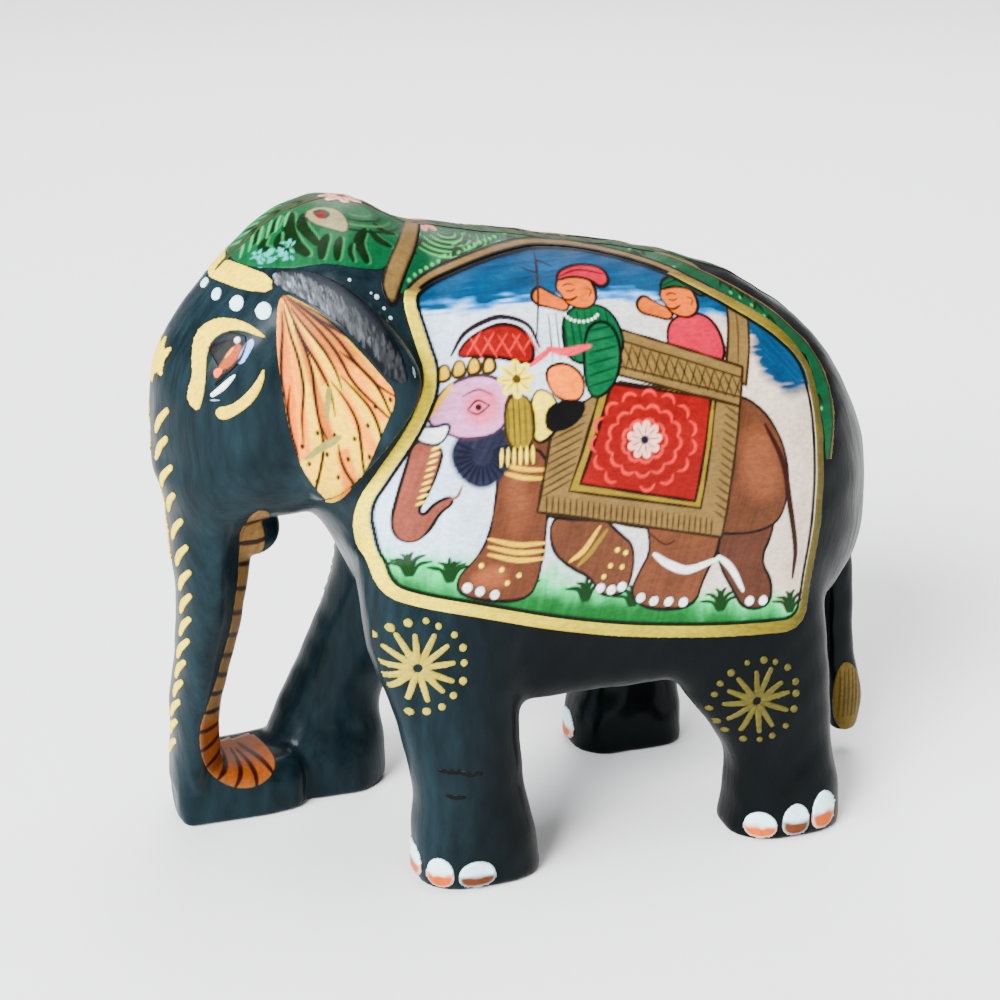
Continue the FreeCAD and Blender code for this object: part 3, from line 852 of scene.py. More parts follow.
# ---------------------------------------------------------------- painting: flank picture
PANEL_FRONT = [
    (-26.4, 85.4), (-25.3, 79.0), (-23.6, 72.3), (-26.6, 66.0), (-31.0, 60.0), (-34.6, 54.6),
    (-32.9, 47.5), (-31.4, 41.0),
]
PANEL_FOOT = [(-26.4, 38.6), (-15.8, 35.6), (-4.0, 32.2), (8.0, 29.6), (20.0, 28.0), (30.0, 27.2),
              (38.6, 27.0)]
PANEL_REAR = [(40.2, 34.0), (41.2, 42.0), (41.3, 54.0), (41.0, 64.2), (40.2, 71.2)]
PANEL_TOP = [
    (34.4, 76.8), (28.8, 80.8), (24.6, 83.5), (17.5, 88.4), (7.4, 92.4), (-1.6, 93.6),
    (-8.3, 92.5), (-14.2, 90.9), (-19.5, 89.2), (-23.1, 87.8),
]
PANEL = PANEL_FRONT + PANEL_FOOT + PANEL_REAR + PANEL_TOP
SPINE_LINE = [(26.2, 86.6), (30.8, 83.4), (36.8, 78.8), (41.8, 73.6), (44.0, 68.4), (44.6, 62), (43.2, 54)]


def outlined(sheet, points, rgb, ink=INK, wide=LINE, turns=2, **more):
    """A patch with a fine line round it."""
    sheet.patch(points, rgb, grow=False, turns=turns, **more)
    ring = rounded(points, turns) if turns else np.array(points, float)
    spans = sheet.window(ring, 1.2)
    line = np.abs(polygon_distance(sheet.u[spans], sheet.v[spans], ring)) - wide / 2
    press = 0.5 * wide * lattice(sheet.u[spans], sheet.v[spans], 3.0, 3.0, 12)
    sheet.lay(spans, line - 0.4 * press, ink, 0.08, 0.1, 0, False)


def hatch(s, count, start, end, shift_start, shift_end, wide, rgb, **more):
    """Strokes side by side: the first one's ends, and how far each end moves to the next."""
    for k in range(count):
        ends = zip((start, end), (shift_start, shift_end))
        s.stroke([(at[0] + k * by[0], at[1] + k * by[1]) for at, by in ends], wide, rgb, **more)


def sky_and_ground(s):
    """A pale ground, cooler in front, with a ragged blue sky above and behind."""
    cool = np.clip((s.u + 30) / 60, 0, 1)[..., None]
    marks = streaks(s.u, s.v, 80, 3)[..., None]
    s.rgb[:] = (tint(222, 232, 240) * (1 - cool) + tint(214, 208, 202) * cool) * (1 + 0.07 * marks)
    ragged = 1.1 * lattice(s.u, s.v, 3.5, 0.45, 9) + 0.7 * lattice(s.u, s.v, 2.0, 1.5, 10)
    depth = 82.6 - 0.012 * np.maximum(s.u - 4, 0) ** 2
    s.wash(depth - s.v - ragged, (130, 190, 218), high=0.05, vary=0.4, angle=4, soft=1.2)
    s.wash(depth + 1.0 - s.v - ragged, SKY, high=0.05, vary=0.5, angle=4, soft=1.0)
    right = 4.6 * np.hypot((s.u - 38) / 8.6, (s.v - 73.6) / 8.2) - 4.6
    s.wash(np.maximum(right - 0.4 * ragged, 28 - s.u), SKY, high=0.05, vary=0.4, angle=-50, soft=1.0)
    s.wash(90.6 + 0.3 * ragged - s.v, (14, 92, 138), high=0.05, vary=0.3, angle=0, soft=2.0)


def grass(s):
    """A green bank along the foot, with tufts of blades."""
    bank = 47.6 - 0.235 * (s.u + 33)
    bank = bank + lattice(s.u, s.v, 2.5, 3, 21) + 0.5 * lattice(s.u, s.v, 0.6, 3, 22)
    s.wash(s.v - bank, (150, 214, 176), high=0.04, vary=0.3, angle=85, soft=3.0)
    s.wash(s.v - bank + 3.0, GRASS, high=0.04, vary=0.35, angle=80, soft=3.5)
    s.wash(s.v - bank + 6.0 - 0.05 * (s.u + 33), (44, 140, 66), high=0.04, vary=0.35, angle=80, soft=4)
    tufts = ((-27.5, 43.2), (-21.5, 41.6), (-10.5, 37.6), (0.4, 36), (8.5, 34.2), (23.5, 31.6), (36, 29.8))
    for n, (u, v) in enumerate(tufts):
        for k in range(9):
            lean = (k - 4) / 4
            tall = 3.6 - 1.3 * abs(lean) + 0.4 * math.sin(3 * k + n)
            tip = (u + 3.4 * lean, v + tall)
            s.stroke([(u + 0.5 * lean, v), (u + 1.4 * lean, v + 0.8 * tall), tip], 0.6, (14, 78, 36))


def painted_elephant(s):
    """The painted elephant's body: brown, with gold bands on its legs."""
    shade = dict(vary=0.22, angle=75)
    outlined(s, [(21.4, 48.2), (32.2, 47.5), (31.8, 43), (30, 39.3), (32.6, 35.2), (32.2, 31.2),
                 (27.6, 31.2), (25.6, 34.6), (22.4, 40)], (128, 76, 58), **shade)
    outlined(s, [(-6, 50.4), (2, 49.6), (5.6, 46), (7.9, 44), (8.1, 39.3), (6.8, 36.2), (2.7, 36.6),
                 (1.2, 39.6), (-2.3, 41.5), (-5.8, 44.7)], (150, 92, 66), **shade)
    outlined(s, [(-12.5, 63.3), (-4.3, 65.7), (5.7, 68.6), (25.4, 66), (30, 63.2), (33.4, 57.5),
                 (34.6, 51), (33.4, 45.2), (29, 43.6), (22, 44.2), (8.6, 46.6), (3.6, 48.4),
                 (-6, 49.7), (-13.6, 52.4)], BROWN, **shade)
    outlined(s, [(8.7, 50.4), (22.6, 47.4), (22.6, 41.6), (20.3, 37.4), (19.2, 32.6), (11.2, 33.2),
                 (7.8, 36), (9, 39.6), (11, 43.2)], (158, 96, 68), **shade)
    outlined(s, [(-13.6, 61), (-6.2, 60.6), (-6.3, 51), (-6.9, 44.6), (-7.4, 40.4), (-8.8, 37.6),
                 (-13.4, 37.4), (-20.2, 39.2), (-20.4, 42.3), (-17.3, 44.8), (-15, 49)],
             (150, 88, 62), **shade)
    s.patch([(26, 60), (30, 60.5), (32.6, 56), (33, 50), (29, 48), (26, 52)], (176, 112, 80), soft=2.5)
    s.patch([(-12.8, 58), (-9.5, 58), (-9.6, 48), (-12.6, 48)], (176, 112, 80), soft=2.0)
    s.patch([(-18, 42.6), (-13, 43.6), (-12.4, 39.4), (-17.6, 40.2)], (196, 132, 96), soft=1.6)
    s.stroke([(30.2, 60.6), (33.4, 54), (34.9, 47), (36.5, 40), (36.4, 35.4)], 1.1, (70, 34, 26))
    for a, b in (((-13.9, 58.9), (-6.4, 57.2)), ((-13.7, 57.6), (-6.5, 55.9))):
        s.stroke([a, ((a[0] + b[0]) / 2, (a[1] + b[1]) / 2 - 0.4), b], 0.7, GOLD)
    for drop in (0.0, 1.2, 2.4):
        s.stroke([(-15.6, 47.6 - drop), (-11, 46.2 - drop), (-6.6, 46.0 - drop)], 0.75, GOLD)
    s.stroke([(-2.6, 42.6), (-0.3, 44.2), (2.2, 47.6)], 0.8, GOLD)
    s.stroke([(-1.2, 41.8), (0.9, 43.8), (3.4, 47.0)], 0.8, OLD_GOLD)
    s.stroke([(11.4, 42.2), (14.2, 40.2), (17.6, 39.0), (22.6, 40.2)], 1.3, WHITE)
    s.stroke([(22.6, 40.6), (25.0, 38.4), (27.4, 34.4)], 1.0, WHITE)
    s.stroke([(10, 46), (13, 43.6), (15, 44)], 0.3, (70, 36, 26))
    for u, v in ((-18.8, 40.4), (-16.8, 39.6), (-14.4, 38.8), (9.8, 35.4), (12.1, 34.6), (14.7, 34.2),
                 (17.2, 33.8), (28.6, 32.6), (31.0, 32.4), (2.8, 37.8), (4.7, 37.3), (6.4, 37.6)):
        s.dot((u, v), 0.92, INK, high=0.06)
        s.dot((u, v), 0.74, WHITE)
    for u, v in ((-16.6, 43.6), (-13.4, 42.6), (-10.6, 41.4), (-12.4, 40.4), (4.2, 41.2), (6.2, 40.8),
                 (5.2, 43.6), (3.2, 39.6), (6.6, 43.0)):
        s.dot((u, v), 0.38, CREAM)


def painted_head(s):
    """The painted elephant's head: trunk, tusk, lilac face, cap, tassel and dark ear."""
    outlined(s, [(-26.5, 64), (-27.8, 59.6), (-29.1, 55.4), (-29.9, 51.6), (-28.8, 48.8), (-26.2, 48.2),
                 (-24.2, 50.0), (-22.8, 52.4), (-20.8, 53.6), (-21.2, 54.8), (-23.6, 54.0), (-25.2, 52.2),
                 (-26.0, 53.2), (-24.6, 55.4), (-23.1, 58.4), (-22, 62.4)], PINK_BROWN, vary=0.2, angle=70)
    hatch(s, 9, (-26.3, 54), (-24.9, 54.4), (0.3, 1), (0.3, 1), 0.4, CREAM)
    s.stroke([(-21.6, 54.2), (-20.2, 54.6), (-19.4, 56.2)], 0.5, PINK_BROWN)
    s.patch([(-21.6, 61.7), (-18.4, 65.2), (-12.4, 64.4), (-10.6, 61.6), (-13.0, 56.6), (-16.8, 54.8),
             (-20.4, 57.6)], (50, 56, 78), vary=0.8, angle=60, soft=0.8)
    for k in range(16):
        a = math.radians(150 + 15 * k)
        u, v = -16.3 + 4.4 * math.cos(a), 60.4 + 4.4 * math.sin(a)
        s.stroke([(-16.3 + 1.6 * math.cos(a), 60.4 + 1.6 * math.sin(a)), (u, v)], 0.5, (34, 38, 58))
    outlined(s, [(-21.6, 71.2), (-16.1, 72.8), (-11.4, 70.4), (-12.3, 64), (-18.2, 62.6), (-22.6, 64.6),
                 (-24.8, 66.6)], LILAC, ink=(96, 70, 90), vary=0.15)
    s.patch([(-18.6, 69.6), (-14.4, 70.6), (-12.8, 67.2), (-15.6, 64.4), (-18.8, 65.6)], (222, 170, 184),
            soft=1.6)
    outlined(s, [(-27.8, 66.4), (-24, 65.2), (-20.6, 65.8), (-22.4, 62.4), (-25.8, 63.2)], WHITE,
             ink=(60, 70, 84))
    s.stroke([(-20.4, 71.4), (-22.4, 69.0), (-24.8, 66.2)], 0.9, GOLD)
    s.stroke([(-18.4, 67.3), (-16.8, 68.6), (-15.0, 67.7)], 0.34, INK)
    s.stroke([(-18.4, 67.3), (-16.8, 66.6), (-15.0, 67.7)], 0.3, INK)
    s.dot((-16.7, 67.6), 0.5, (70, 40, 40))
    s.stroke([(-19, 69.4), (-16.6, 70.2), (-14.4, 69.2)], 0.3, (120, 60, 70))
    for k in range(4):
        u = -21.6 + 2.3 * k
        v = 72.9 + 0.55 * k - 0.12 * k * k
        outlined(s, [(u - 1.1, v - 1.2), (u - 0.6, v + 1.3), (u + 0.9, v + 1.5), (u + 1.2, v - 0.8)],
                 GOLD, ink=(80, 56, 30))
    cap = [(-19.6, 75.2), (-17.8, 77.6), (-14.6, 79.2), (-11.4, 79.8), (-8.4, 78.6), (-7.2, 75.6),
           (-8.0, 73.0), (-12.4, 74.6), (-16.6, 75.2)]
    outlined(s, cap, RED, ink=(40, 20, 24), wide=0.5)
    for k in range(5):
        s.stroke([(-17.8 + 2.2 * k, 75.4), (-15.2 + 2.0 * k, 78.8 - 0.3 * k)], 0.3, PINK)
        s.stroke([(-17.0 + 2.2 * k, 78.0), (-15.4 + 2.2 * k, 74.6)], 0.3, PINK)
    s.stroke([(-20.2, 75.6), (-17.9, 78.6), (-14.6, 80.2), (-11.4, 80.7), (-7.8, 79.2), (-6.4, 75.6)],
             0.85, (52, 40, 44))
    outlined(s, [(-12.8, 69), (-8.4, 68.8), (-8.2, 60.6), (-12.8, 60.8)], OLD_GOLD, ink=(70, 50, 26))
    hatch(s, 5, (-12.3, 68.4), (-12.3, 61.4), (0.9, 0), (0.9, 0), 0.22, (96, 70, 34))
    hatch(s, 6, (-13.4, 61), (-13.6, 58.4), (0.95, 0), (1.0, 0), 0.5, CREAM)
    blossom(s, (-10.6, 71.2), 2.3, CREAM, (120, 84, 40), 8)


def blossom(s, centre, radius, petal, heart, petals, grow=False):
    """A round flower: petals about a heart."""
    for k in range(petals):
        a = 2 * math.pi * k / petals
        c, d = math.cos(a), math.sin(a)
        near = (centre[0] + 0.3 * radius * c, centre[1] + 0.3 * radius * d)
        far = (centre[0] + radius * c, centre[1] + radius * d)
        s.stroke([near, far], 0.62 * radius, petal, ends=(0.5, 0.9), grow=grow)
        s.stroke([near, far], 0.16, heart, grow=False)
    s.dot(centre, 0.3 * radius, heart, grow=False)


def rider(s, at, turban, robe):
    """A calm rider in a turban: a plain design that is nobody's likeness."""
    def put(points):
        return [(at[0] + a, at[1] + b) for a, b in points]

    outlined(s, put([(-4.6, -4.2), (-2.2, -1.9), (2.4, -1.7), (4.9, -4.2), (5.3, -9.6), (1.0, -11.2),
                     (-4.6, -10.4)]), robe)
    outlined(s, put([(-8.6, 0.4), (-6.8, 1.8), (-5.4, 0.6), (-2.4, -1.2), (-3.2, -2.8), (-6.0, -1.8),
                     (-8.2, -1.2)]), ORANGE)
    outlined(s, put([(-4.2, 1.2), (-2.9, 3.3), (1.4, 3.4), (2.6, 1.0), (2.1, -1.6), (-0.2, -2.6),
                     (-2.9, -1.6), (-3.5, 0.1)]), (236, 158, 86))
    outlined(s, put([(-3.9, 2.2), (-2.4, 4.2), (1.6, 5.0), (5.2, 4.2), (5.6, 1.6), (3.4, 0.6), (2.0, 2.3),
                     (-1.0, 2.9)]), turban)
    s.stroke(put([(-3.2, 2.9), (0.6, 3.9), (4.9, 3.0)]), 0.26, INK)
    s.stroke(put([(-2.9, 1.4), (-1.9, 1.7), (-0.9, 1.4)]), 0.26, INK)
    s.stroke(put([(-2.7, 0.7), (-1.8, 0.5), (-1.0, 0.8)]), 0.24, INK)
    s.stroke(put([(-3.5, -0.6), (-2.2, -0.9), (-0.9, -0.4)]), 0.42, (60, 30, 26))
    s.stroke(put([(0.9, 0.9), (1.7, 0.4), (1.1, -0.5)]), 0.24, (120, 60, 40))


def driver(s):
    """The rider who drives from the neck, with a sash, a necklace and a goad."""
    rider(s, (2.2, 83.4), (226, 96, 100), (44, 128, 80))
    hatch(s, 9, (-4.2, 80.6), (-4.6, 73.4), (1.2, 0), (1.25, 0), 0.26, (14, 66, 40))
    outlined(s, [(1.6, 78.4), (5.6, 79.0), (7.0, 74.4), (5.2, 68.8), (1.0, 66.6), (0.0, 71.6)], (52, 134, 86))
    hatch(s, 6, (0.8, 69), (5.4, 70), (0.2, 1.7), (0.2, 1.6), 0.3, (14, 70, 44))
    outlined(s, [(-6.4, 72.4), (-2.4, 73.2), (0.4, 70.4), (-0.6, 66.8), (-4.9, 67.6)], (240, 176, 112))
    outlined(s, [(-8.2, 69.8), (-4.6, 68.4), (-4.2, 63.4), (-7.6, 60.8), (-9.2, 63.6)], CREAM)
    s.patch([(-6.4, 67.3), (0.8, 67.4), (-1.4, 63.2), (-6.8, 62.4)], INK)
    s.stroke([(-5.2, 75.4), (-2.2, 74.6), (1.8, 75.2)], 1.3, SASH)
    s.stroke([(-4.6, 75.2), (-6.4, 74.2), (-8.6, 72.8)], 1.0, SASH)
    for k in range(10):
        a = math.radians(200 + 14 * k)
        s.dot((1.4 + 3.0 * math.cos(a), 80.9 + 1.9 * math.sin(a)), 0.22, WHITE)
    s.stroke([(-2.9, 91.4), (-5.0, 84.0), (-6.9, 76.3)], 0.4, (70, 50, 40))
    s.stroke([(-6.7, 88.4), (-4.2, 87.4), (-3.4, 89.2), (-1.2, 88.2)], 0.4, (70, 50, 40))


def saddle(s):
    """The second rider in the seat, its lattice rail, the red cloth and its fringed rim."""
    outlined(s, [(27.4, 80.8), (31.0, 79.8), (27.4, 67), (23.9, 69)], TAN, ink=SADDLE_INK, turns=0)
    s.stroke([(28.8, 80), (26.4, 70)], 0.3, (110, 80, 50))
    rider(s, (19.4, 80.8), (50, 124, 76), (226, 100, 108))
    rim = [(2.0, 68.0), (-5.5, 63.8), (-8.0, 50.9), (22.9, 43.6), (26.0, 64.2), (6, 69.4)]
    outlined(s, rim, TAN, ink=SADDLE_INK, wide=0.45, turns=0)
    hatch(s, 30, (-6.6, 50.67), (-6.5, 53.27), (0.95, -0.2242), (0.95, -0.2242), 0.3, FRINGE)
    hatch(s, 14, (21.4, 47.9), (23.6, 46.3), (0.15, 1.25), (0.15, 1.25), 0.3, FRINGE)
    hatch(s, 9, (-7.2, 53.2), (-2.6, 55.3), (0.2, 1.2), (0.34, 1.2), 0.3, FRINGE)
    outlined(s, [(3.0, 69.6), (21.9, 66.2), (19.0, 48.6), (-3.0, 53.6)], OLD_GOLD, ink=(58, 38, 22),
             wide=0.45, turns=0)
    outlined(s, [(4.4, 69.2), (21.0, 65.6), (18.0, 49.8), (-1.2, 54.5)], RED, ink=(44, 14, 16), wide=0.5,
             turns=0)
    for ring, count in ((2.9, 9), (5.4, 13), (8.0, 15)):
        for k in range(count):
            a = 2 * math.pi * (k + 0.3 * ring) / count
            c, d = math.cos(a), math.sin(a)
            u, v = 9.4 + ring * c, 60.0 + 0.86 * ring * d
            if not (0.6 + 0.24 * (u - 1) < u < 19.4 and 55.2 - 0.24 * u < v < 68.2 - 0.23 * (u - 5)):
                continue
            s.stroke([(u - 1.2 * d, v + 1.2 * c), (u + 0.7 * c - 0.5 * d, v + 0.7 * d + 0.5 * c),
                      (u + 0.7 * c + 0.5 * d, v + 0.7 * d - 0.5 * c), (u + 1.2 * d, v - 1.2 * c)], 0.55, PINK)
    blossom(s, (9.4, 60.2), 2.3, (240, 216, 210), (16, 40, 70), 9)
    outlined(s, [(6.6, 77.6), (27.2, 69.9), (26.0, 63.8), (4.8, 70.7)], TAN, ink=SADDLE_INK, wide=0.45,
             turns=0)
    for k in range(14):
        u = 5.6 + 1.5 * k
        top, low = 75.6 - 0.36 * (u - 6), 72.0 - 0.33 * (u - 4.6)
        s.stroke([(u, low), (u + 1.5, top - 0.5)], 0.28, FRINGE)
        s.stroke([(u, top), (u + 1.5, low - 0.5)], 0.28, FRINGE)
    s.stroke([(6.2, 75.9), (26.9, 68.2)], 0.34, (70, 48, 28), ends=(0.9, 0.9))
    s.stroke([(5.2, 72.0), (26.3, 65.2)], 0.34, (70, 48, 28), ends=(0.9, 0.9))


def flank_picture(side, name):
    """The riding scene. Its outline alone bounds it, whatever the brush strokes cover."""
    s = Sheet((-37, 26), (42, 94), 0.21)
    sky_and_ground(s)
    grass(s)
    painted_elephant(s)
    saddle(s)
    driver(s)
    painted_head(s)
    outline = rounded(PANEL, 2)
    s.edge = polygon_distance(s.u, s.v, outline)
    s.wash(np.abs(s.edge + 1.75) - 0.33, INK, high=0.07, vary=0.1, angle=0)
    return s.make("picture_" + name, Canvas(90, 20, side), PICTURE_PAINT,
                  ["picture_ground_" + name], keep=lambda p: p.x * side > -0.2,
                  facing=0.16 if side > 0 else 0.4)


def flank_border(side, name):
    """A gold band in front, below and behind, and a tan one with black edges along the top. The gold is a
    painted highlight in front that darkens into painted shade towards the rear.
    """
    s = Sheet((-38, 25), (43, 96), 0.22)
    ring = rounded(PANEL, 2)
    d = polygon_distance(s.u, s.v, ring)
    top = np.clip((s.v - 84 + 0.55 * np.maximum(s.u - 20, 0)) / 2, 0, 1)
    rear = np.clip((s.u - 37) / 3, 0, 1)
    half = 0.95 - 0.25 * top - 0.3 * rear
    s.edge = np.abs(d + 0.5) - half - 0.25 * top
    # Painted light: the gold goes from a painted highlight at the front to painted shade at the rear.
    wear_and_painted_light = np.clip((s.u + 36) / 76, 0, 1)[..., None]
    marks = streaks(s.u, s.v, -10, 31)[..., None]
    gold = (tint(232, 216, 142) * (1 - wear_and_painted_light) + tint(132, 114, 58) * wear_and_painted_light) * (1 + 0.2 * marks)
    tan = tint(*TAN) * (1 + 0.2 * marks)
    s.rgb[:] = gold * (1 - top[..., None]) + tan * top[..., None]
    s.high[:] = 0.1 + 0.04 * marks[..., 0]
    s.wash(half - 0.3 - np.abs(d + 0.5) + 9 * (1 - top), INK, high=0.06, vary=0.1, angle=0)
    return s.make("picture_border_" + name, Canvas(90, 20, side), GOLD_PAINT,
                  ["picture_border_" + name], lift=0.16, keep=lambda p: p.x * side > 0.5,
                  facing=0.16 if side > 0 else 0.4)


# ---------------------------------------------------------------- painting: ears and eyes
EAR_FAN = [
    (-44.6, 87.6), (-41.3, 85.0), (-38, 81.8), (-35, 77.5), (-32.5, 74), (-29.6, 70.2), (-32.1, 65.1),
    (-34.3, 59.4), (-36.2, 55.8), (-38.4, 55.6), (-40.5, 57.6), (-43.1, 61.8), (-44.7, 66.9),
    (-45.6, 74), (-45.8, 80.5),
]
EAR_APEX = (-44.4, 87.4)


def ear_fan(side, name):
    """The fan on the ear: an orange blade behind, orange and cream panels, dark ribs and spots."""
    s = Sheet((-47, 52), (-28, 90), 0.19)
    s.patch(EAR_FAN, (236, 214, 158), high=0.05, vary=0.12, angle=-60)
    bend = np.degrees(np.arctan2(s.v - EAR_APEX[1], s.u - EAR_APEX[0]))
    far = np.hypot(s.u - EAR_APEX[0], s.v - EAR_APEX[1])
    for start, end, inner, outer, rgb in (
        (-100, -87, 0, 40, (238, 168, 96)), (-87, -83.5, 0, 25, (242, 192, 128)),
        (-79.5, -75, 6, 23, (238, 158, 62)), (-76, -72, 25, 34, (238, 178, 100)),
        (-73, -69, 0, 15, (238, 176, 104)), (-68, -64, 17, 34, (240, 194, 124)),
        (-63, -59, 0, 16, (238, 172, 98)), (-60, -56.5, 12, 24, (240, 188, 116)),
        (-53, -49, 14, 26, (240, 188, 120)),
    ):
        across = np.maximum(start - bend, bend - end) * far * math.radians(1)
        inside = np.maximum(across, np.maximum(far - outer, inner - far))
        s.wash(np.maximum(inside, s.edge), rgb, high=0.05, vary=0.14, angle=-65, soft=0.5)
    blade = [(-44.6, 87.3), (-41.8, 85.3), (-38.4, 81.6), (-35.2, 77.3), (-32.2, 73.2), (-33.2, 72.2),
             (-35.8, 74), (-38.6, 76.6), (-41.4, 80.8), (-43.4, 84.2)]
    s.patch(blade, (240, 154, 50), vary=0.12, angle=-50, soft=0.3, turns=1)
    s.patch([(-32.0, 73.4), (-35.0, 76.6), (-37.4, 74.6), (-34.4, 70.8)], (242, 196, 124), vary=0.12,
            angle=-50, soft=2.2)
    for angle, start, end in ((-93, 3, 19), (-89, 14, 31), (-84, 2, 23), (-81, 20, 32), (-77, 5, 24),
                              (-72.5, 1, 20), (-73, 24, 34), (-68, 15, 33), (-65, 3, 17), (-62, 15, 31),
                              (-57.5, 1.5, 27),
                              (-54.5, 12, 26), (-51, 0.5, 24), (-46.5, 2, 17), (-44.5, 3, 22)):
        a = math.radians(angle)
        reach = np.linspace(start, end, 6)
        bow = a + 0.035 * np.sin(reach * 0.33 + angle)
        line = list(zip(EAR_APEX[0] + reach * np.cos(bow), EAR_APEX[1] + reach * np.sin(bow)))
        s.stroke(line, 0.5, (52, 26, 16), high=0.09, ends=(0.3, 0.25))
    for k in range(26):
        a = math.radians(-92 + 1.9 * k)
        r = 22.5 + 3.4 * ((k * 7) % 3) + 1.4 * math.cos(0.5 * k)
        u, v = EAR_APEX[0] + r * math.cos(a), EAR_APEX[1] + r * math.sin(a)
        s.stroke([(u, v), (u + 0.2, v - 0.7)], 0.55, (30, 16, 12))
    s.patch([(-42.6, 62.9), (-40.4, 64.7), (-37.5, 65.8), (-37.7, 64.6), (-40.6, 63.2), (-42.2, 62.2)],
            (190, 180, 128), high=0.0, turns=1)
    s.patch([(-39.7, 72.4), (-38.7, 72.8), (-39.0, 70), (-39.4, 67.6), (-39.9, 68.3)], (186, 176, 120),
            high=0.0, turns=1)
    s.trim(EAR_FAN)
    return s.make("ear_paint_" + name, Canvas(90, 20, side), EAR_PAINT, ["ear_paint_" + name])


def ear_hair(side, name):
    """Dry pale strokes along the top of the ear, over slate and black."""
    s = Sheet((-46, 66), (-27, 93), 0.2)
    band = [(-45.6, 90.2), (-42, 90.6), (-37.6, 88.8), (-33.4, 85.2), (-30.2, 80), (-28.6, 75), (-28.2, 71.4),
            (-31.6, 73), (-34.6, 78), (-38, 82.4), (-41.3, 85.6), (-44.6, 88)]
    s.patch(band, (26, 34, 40), high=0.0, vary=0.3, angle=-60)
    core = [(-44.8, 89.4), (-41, 89.8), (-36.6, 87), (-33.2, 82.6), (-31.4, 78.6), (-33.4, 79.4),
            (-37, 83.4), (-41.3, 87)]
    s.patch(core, (74, 84, 94), high=0.02, vary=0.35, angle=-60, soft=2.6)
    rng = np.random.default_rng(SEED + 4)
    for _ in range(420):
        t = rng.uniform(0, 1)
        u = -44.8 + 16 * t
        v = 90.2 - 15.4 * t**1.7 + rng.uniform(-3.4, 0.6)
        a = math.radians(-74 - 14 * t + rng.uniform(-14, 14))
        long = rng.uniform(0.8, 2.2)
        level = rng.uniform(0.35, 1.0) * (1 - 0.55 * t)
        s.stroke([(u, v), (u + long * math.cos(a), v + long * math.sin(a))], 0.24,
                 (206 * level, 214 * level, 222 * level), high=0.04)
    s.trim(band)
    return s.make("ear_hair_" + name, Canvas(90, 20, side), SLATE_PAINT, lift=0.04)


def ear_specks(side, name):
    """A few stray dabs behind the ear's top."""
    s = Sheet((-37, 66), (-26, 90), 0.18)
    for u, v, r in ((-34.4, 88, 0.3), (-30.6, 85.2, 0.42), (-29.7, 83.4, 0.3), (-28.9, 81.9, 0.34),
                    (-31.4, 85.8, 0.22)):
        s.dot((u, v), r, (206, 212, 214), high=0.05)
    s.stroke([(-27.4, 74.2), (-27.2, 72.6)], 0.4, (170, 176, 178))
    return s.make("ear_specks_" + name, Canvas(90, 20, side), WHITE_PAINT)


def eye(side, name):
    """The gold brow, the drop-shaped eye and the gold crescent below it."""
    s = Sheet((-48, 64), (-31, 84), 0.17)
    brow = [(-32.3, 78.9), (-34.8, 80.6), (-37.5, 81.5), (-41, 81.6), (-43.9, 80.2), (-44.9, 77.9),
            (-44.7, 75.1), (-44.3, 72.7), (-45.1, 70.6), (-45.0, 68.6), (-43.2, 67.3), (-42.3, 69.6),
            (-41.9, 72.8),
            (-42.0, 76.2), (-41.4, 78.3), (-39.3, 79.7), (-36.6, 79.9), (-34.3, 79.2)]
    s.patch(brow, (232, 212, 134), high=0.13, vary=0.14, angle=30, turns=1)
    crescent = [(-32.7, 75.0), (-32.8, 72.4), (-34.2, 69.6), (-36.5, 67.7), (-38.7, 66.4), (-40.3, 66.8),
                (-40.2, 68.3), (-38, 68.7), (-36.0, 70.1), (-34.2, 72.2)]
    s.patch(crescent, (232, 212, 134), high=0.13, vary=0.14, angle=45, turns=1)
    s.patch([(-42.1, 77.1), (-40.2, 79.2), (-37.8, 79.6), (-35.3, 78.9), (-37, 76), (-39.8, 74.3)],
            (44, 50, 56), high=0.03, turns=1)
    s.patch([(-35, 79), (-34.3, 78.2), (-35.2, 76.4), (-36.1, 74.9), (-37.1, 75), (-36.3, 77.3)],
            (190, 206, 224), high=0.05, turns=1)
    s.patch([(-42, 77.1), (-38.7, 78.3), (-35.9, 78.3), (-38.0, 75.6), (-39.9, 74.3)], (6, 6, 8),
            high=0.07, turns=0)
    iris = [(-37.3, 78), (-36.2, 77.5), (-37.3, 75), (-38.9, 73.8), (-40, 74.2), (-39.2, 75.4)]
    s.patch(iris, (232, 120, 44), high=0.09, turns=1)
    s.stroke([(-38.9, 75.7), (-37.7, 77.3)], 0.4, (242, 200, 140), grow=False)
    s.patch([(-40, 74.3), (-38.9, 73.9), (-40.3, 72.3), (-40.9, 73.6)], (236, 170, 128), high=0.08, turns=1)
    s.stroke([(-35.6, 78.1), (-36.6, 75.6), (-38.8, 73.2), (-40.6, 71.4)], 0.5, (10, 10, 12))
    s.dot((-37.2, 78.4), 0.45, WHITE)
    s.stroke([(-40.8, 70.1), (-39.2, 71.3), (-37.2, 73.3)], 0.95, WHITE, ends=(0.7, 0.2))
    s.stroke([(-41.2, 69.3), (-39.6, 69.4)], 0.3, (196, 206, 210))
    return s.make("eye_paint_" + name, Canvas(60, 15, side), GOLD_PAINT, ["eye_paint_" + name])


def brow_marks(side, name):
    """White dots over the brow."""
    s = Sheet((-50, 80), (-30, 91), 0.17)
    for u, v, r in ((-45.9, 86.6, 0.8), (-42.3, 85.0, 0.95), (-38.2, 83.8, 1.2), (-33.5, 82.9, 1.3)):
        s.dot((u, v), r, BRUSH_WHITE)
    return s.make("forehead_dots_" + name, Canvas(60, 15, side), WHITE_PAINT,
                  once(side, "forehead_dots"))


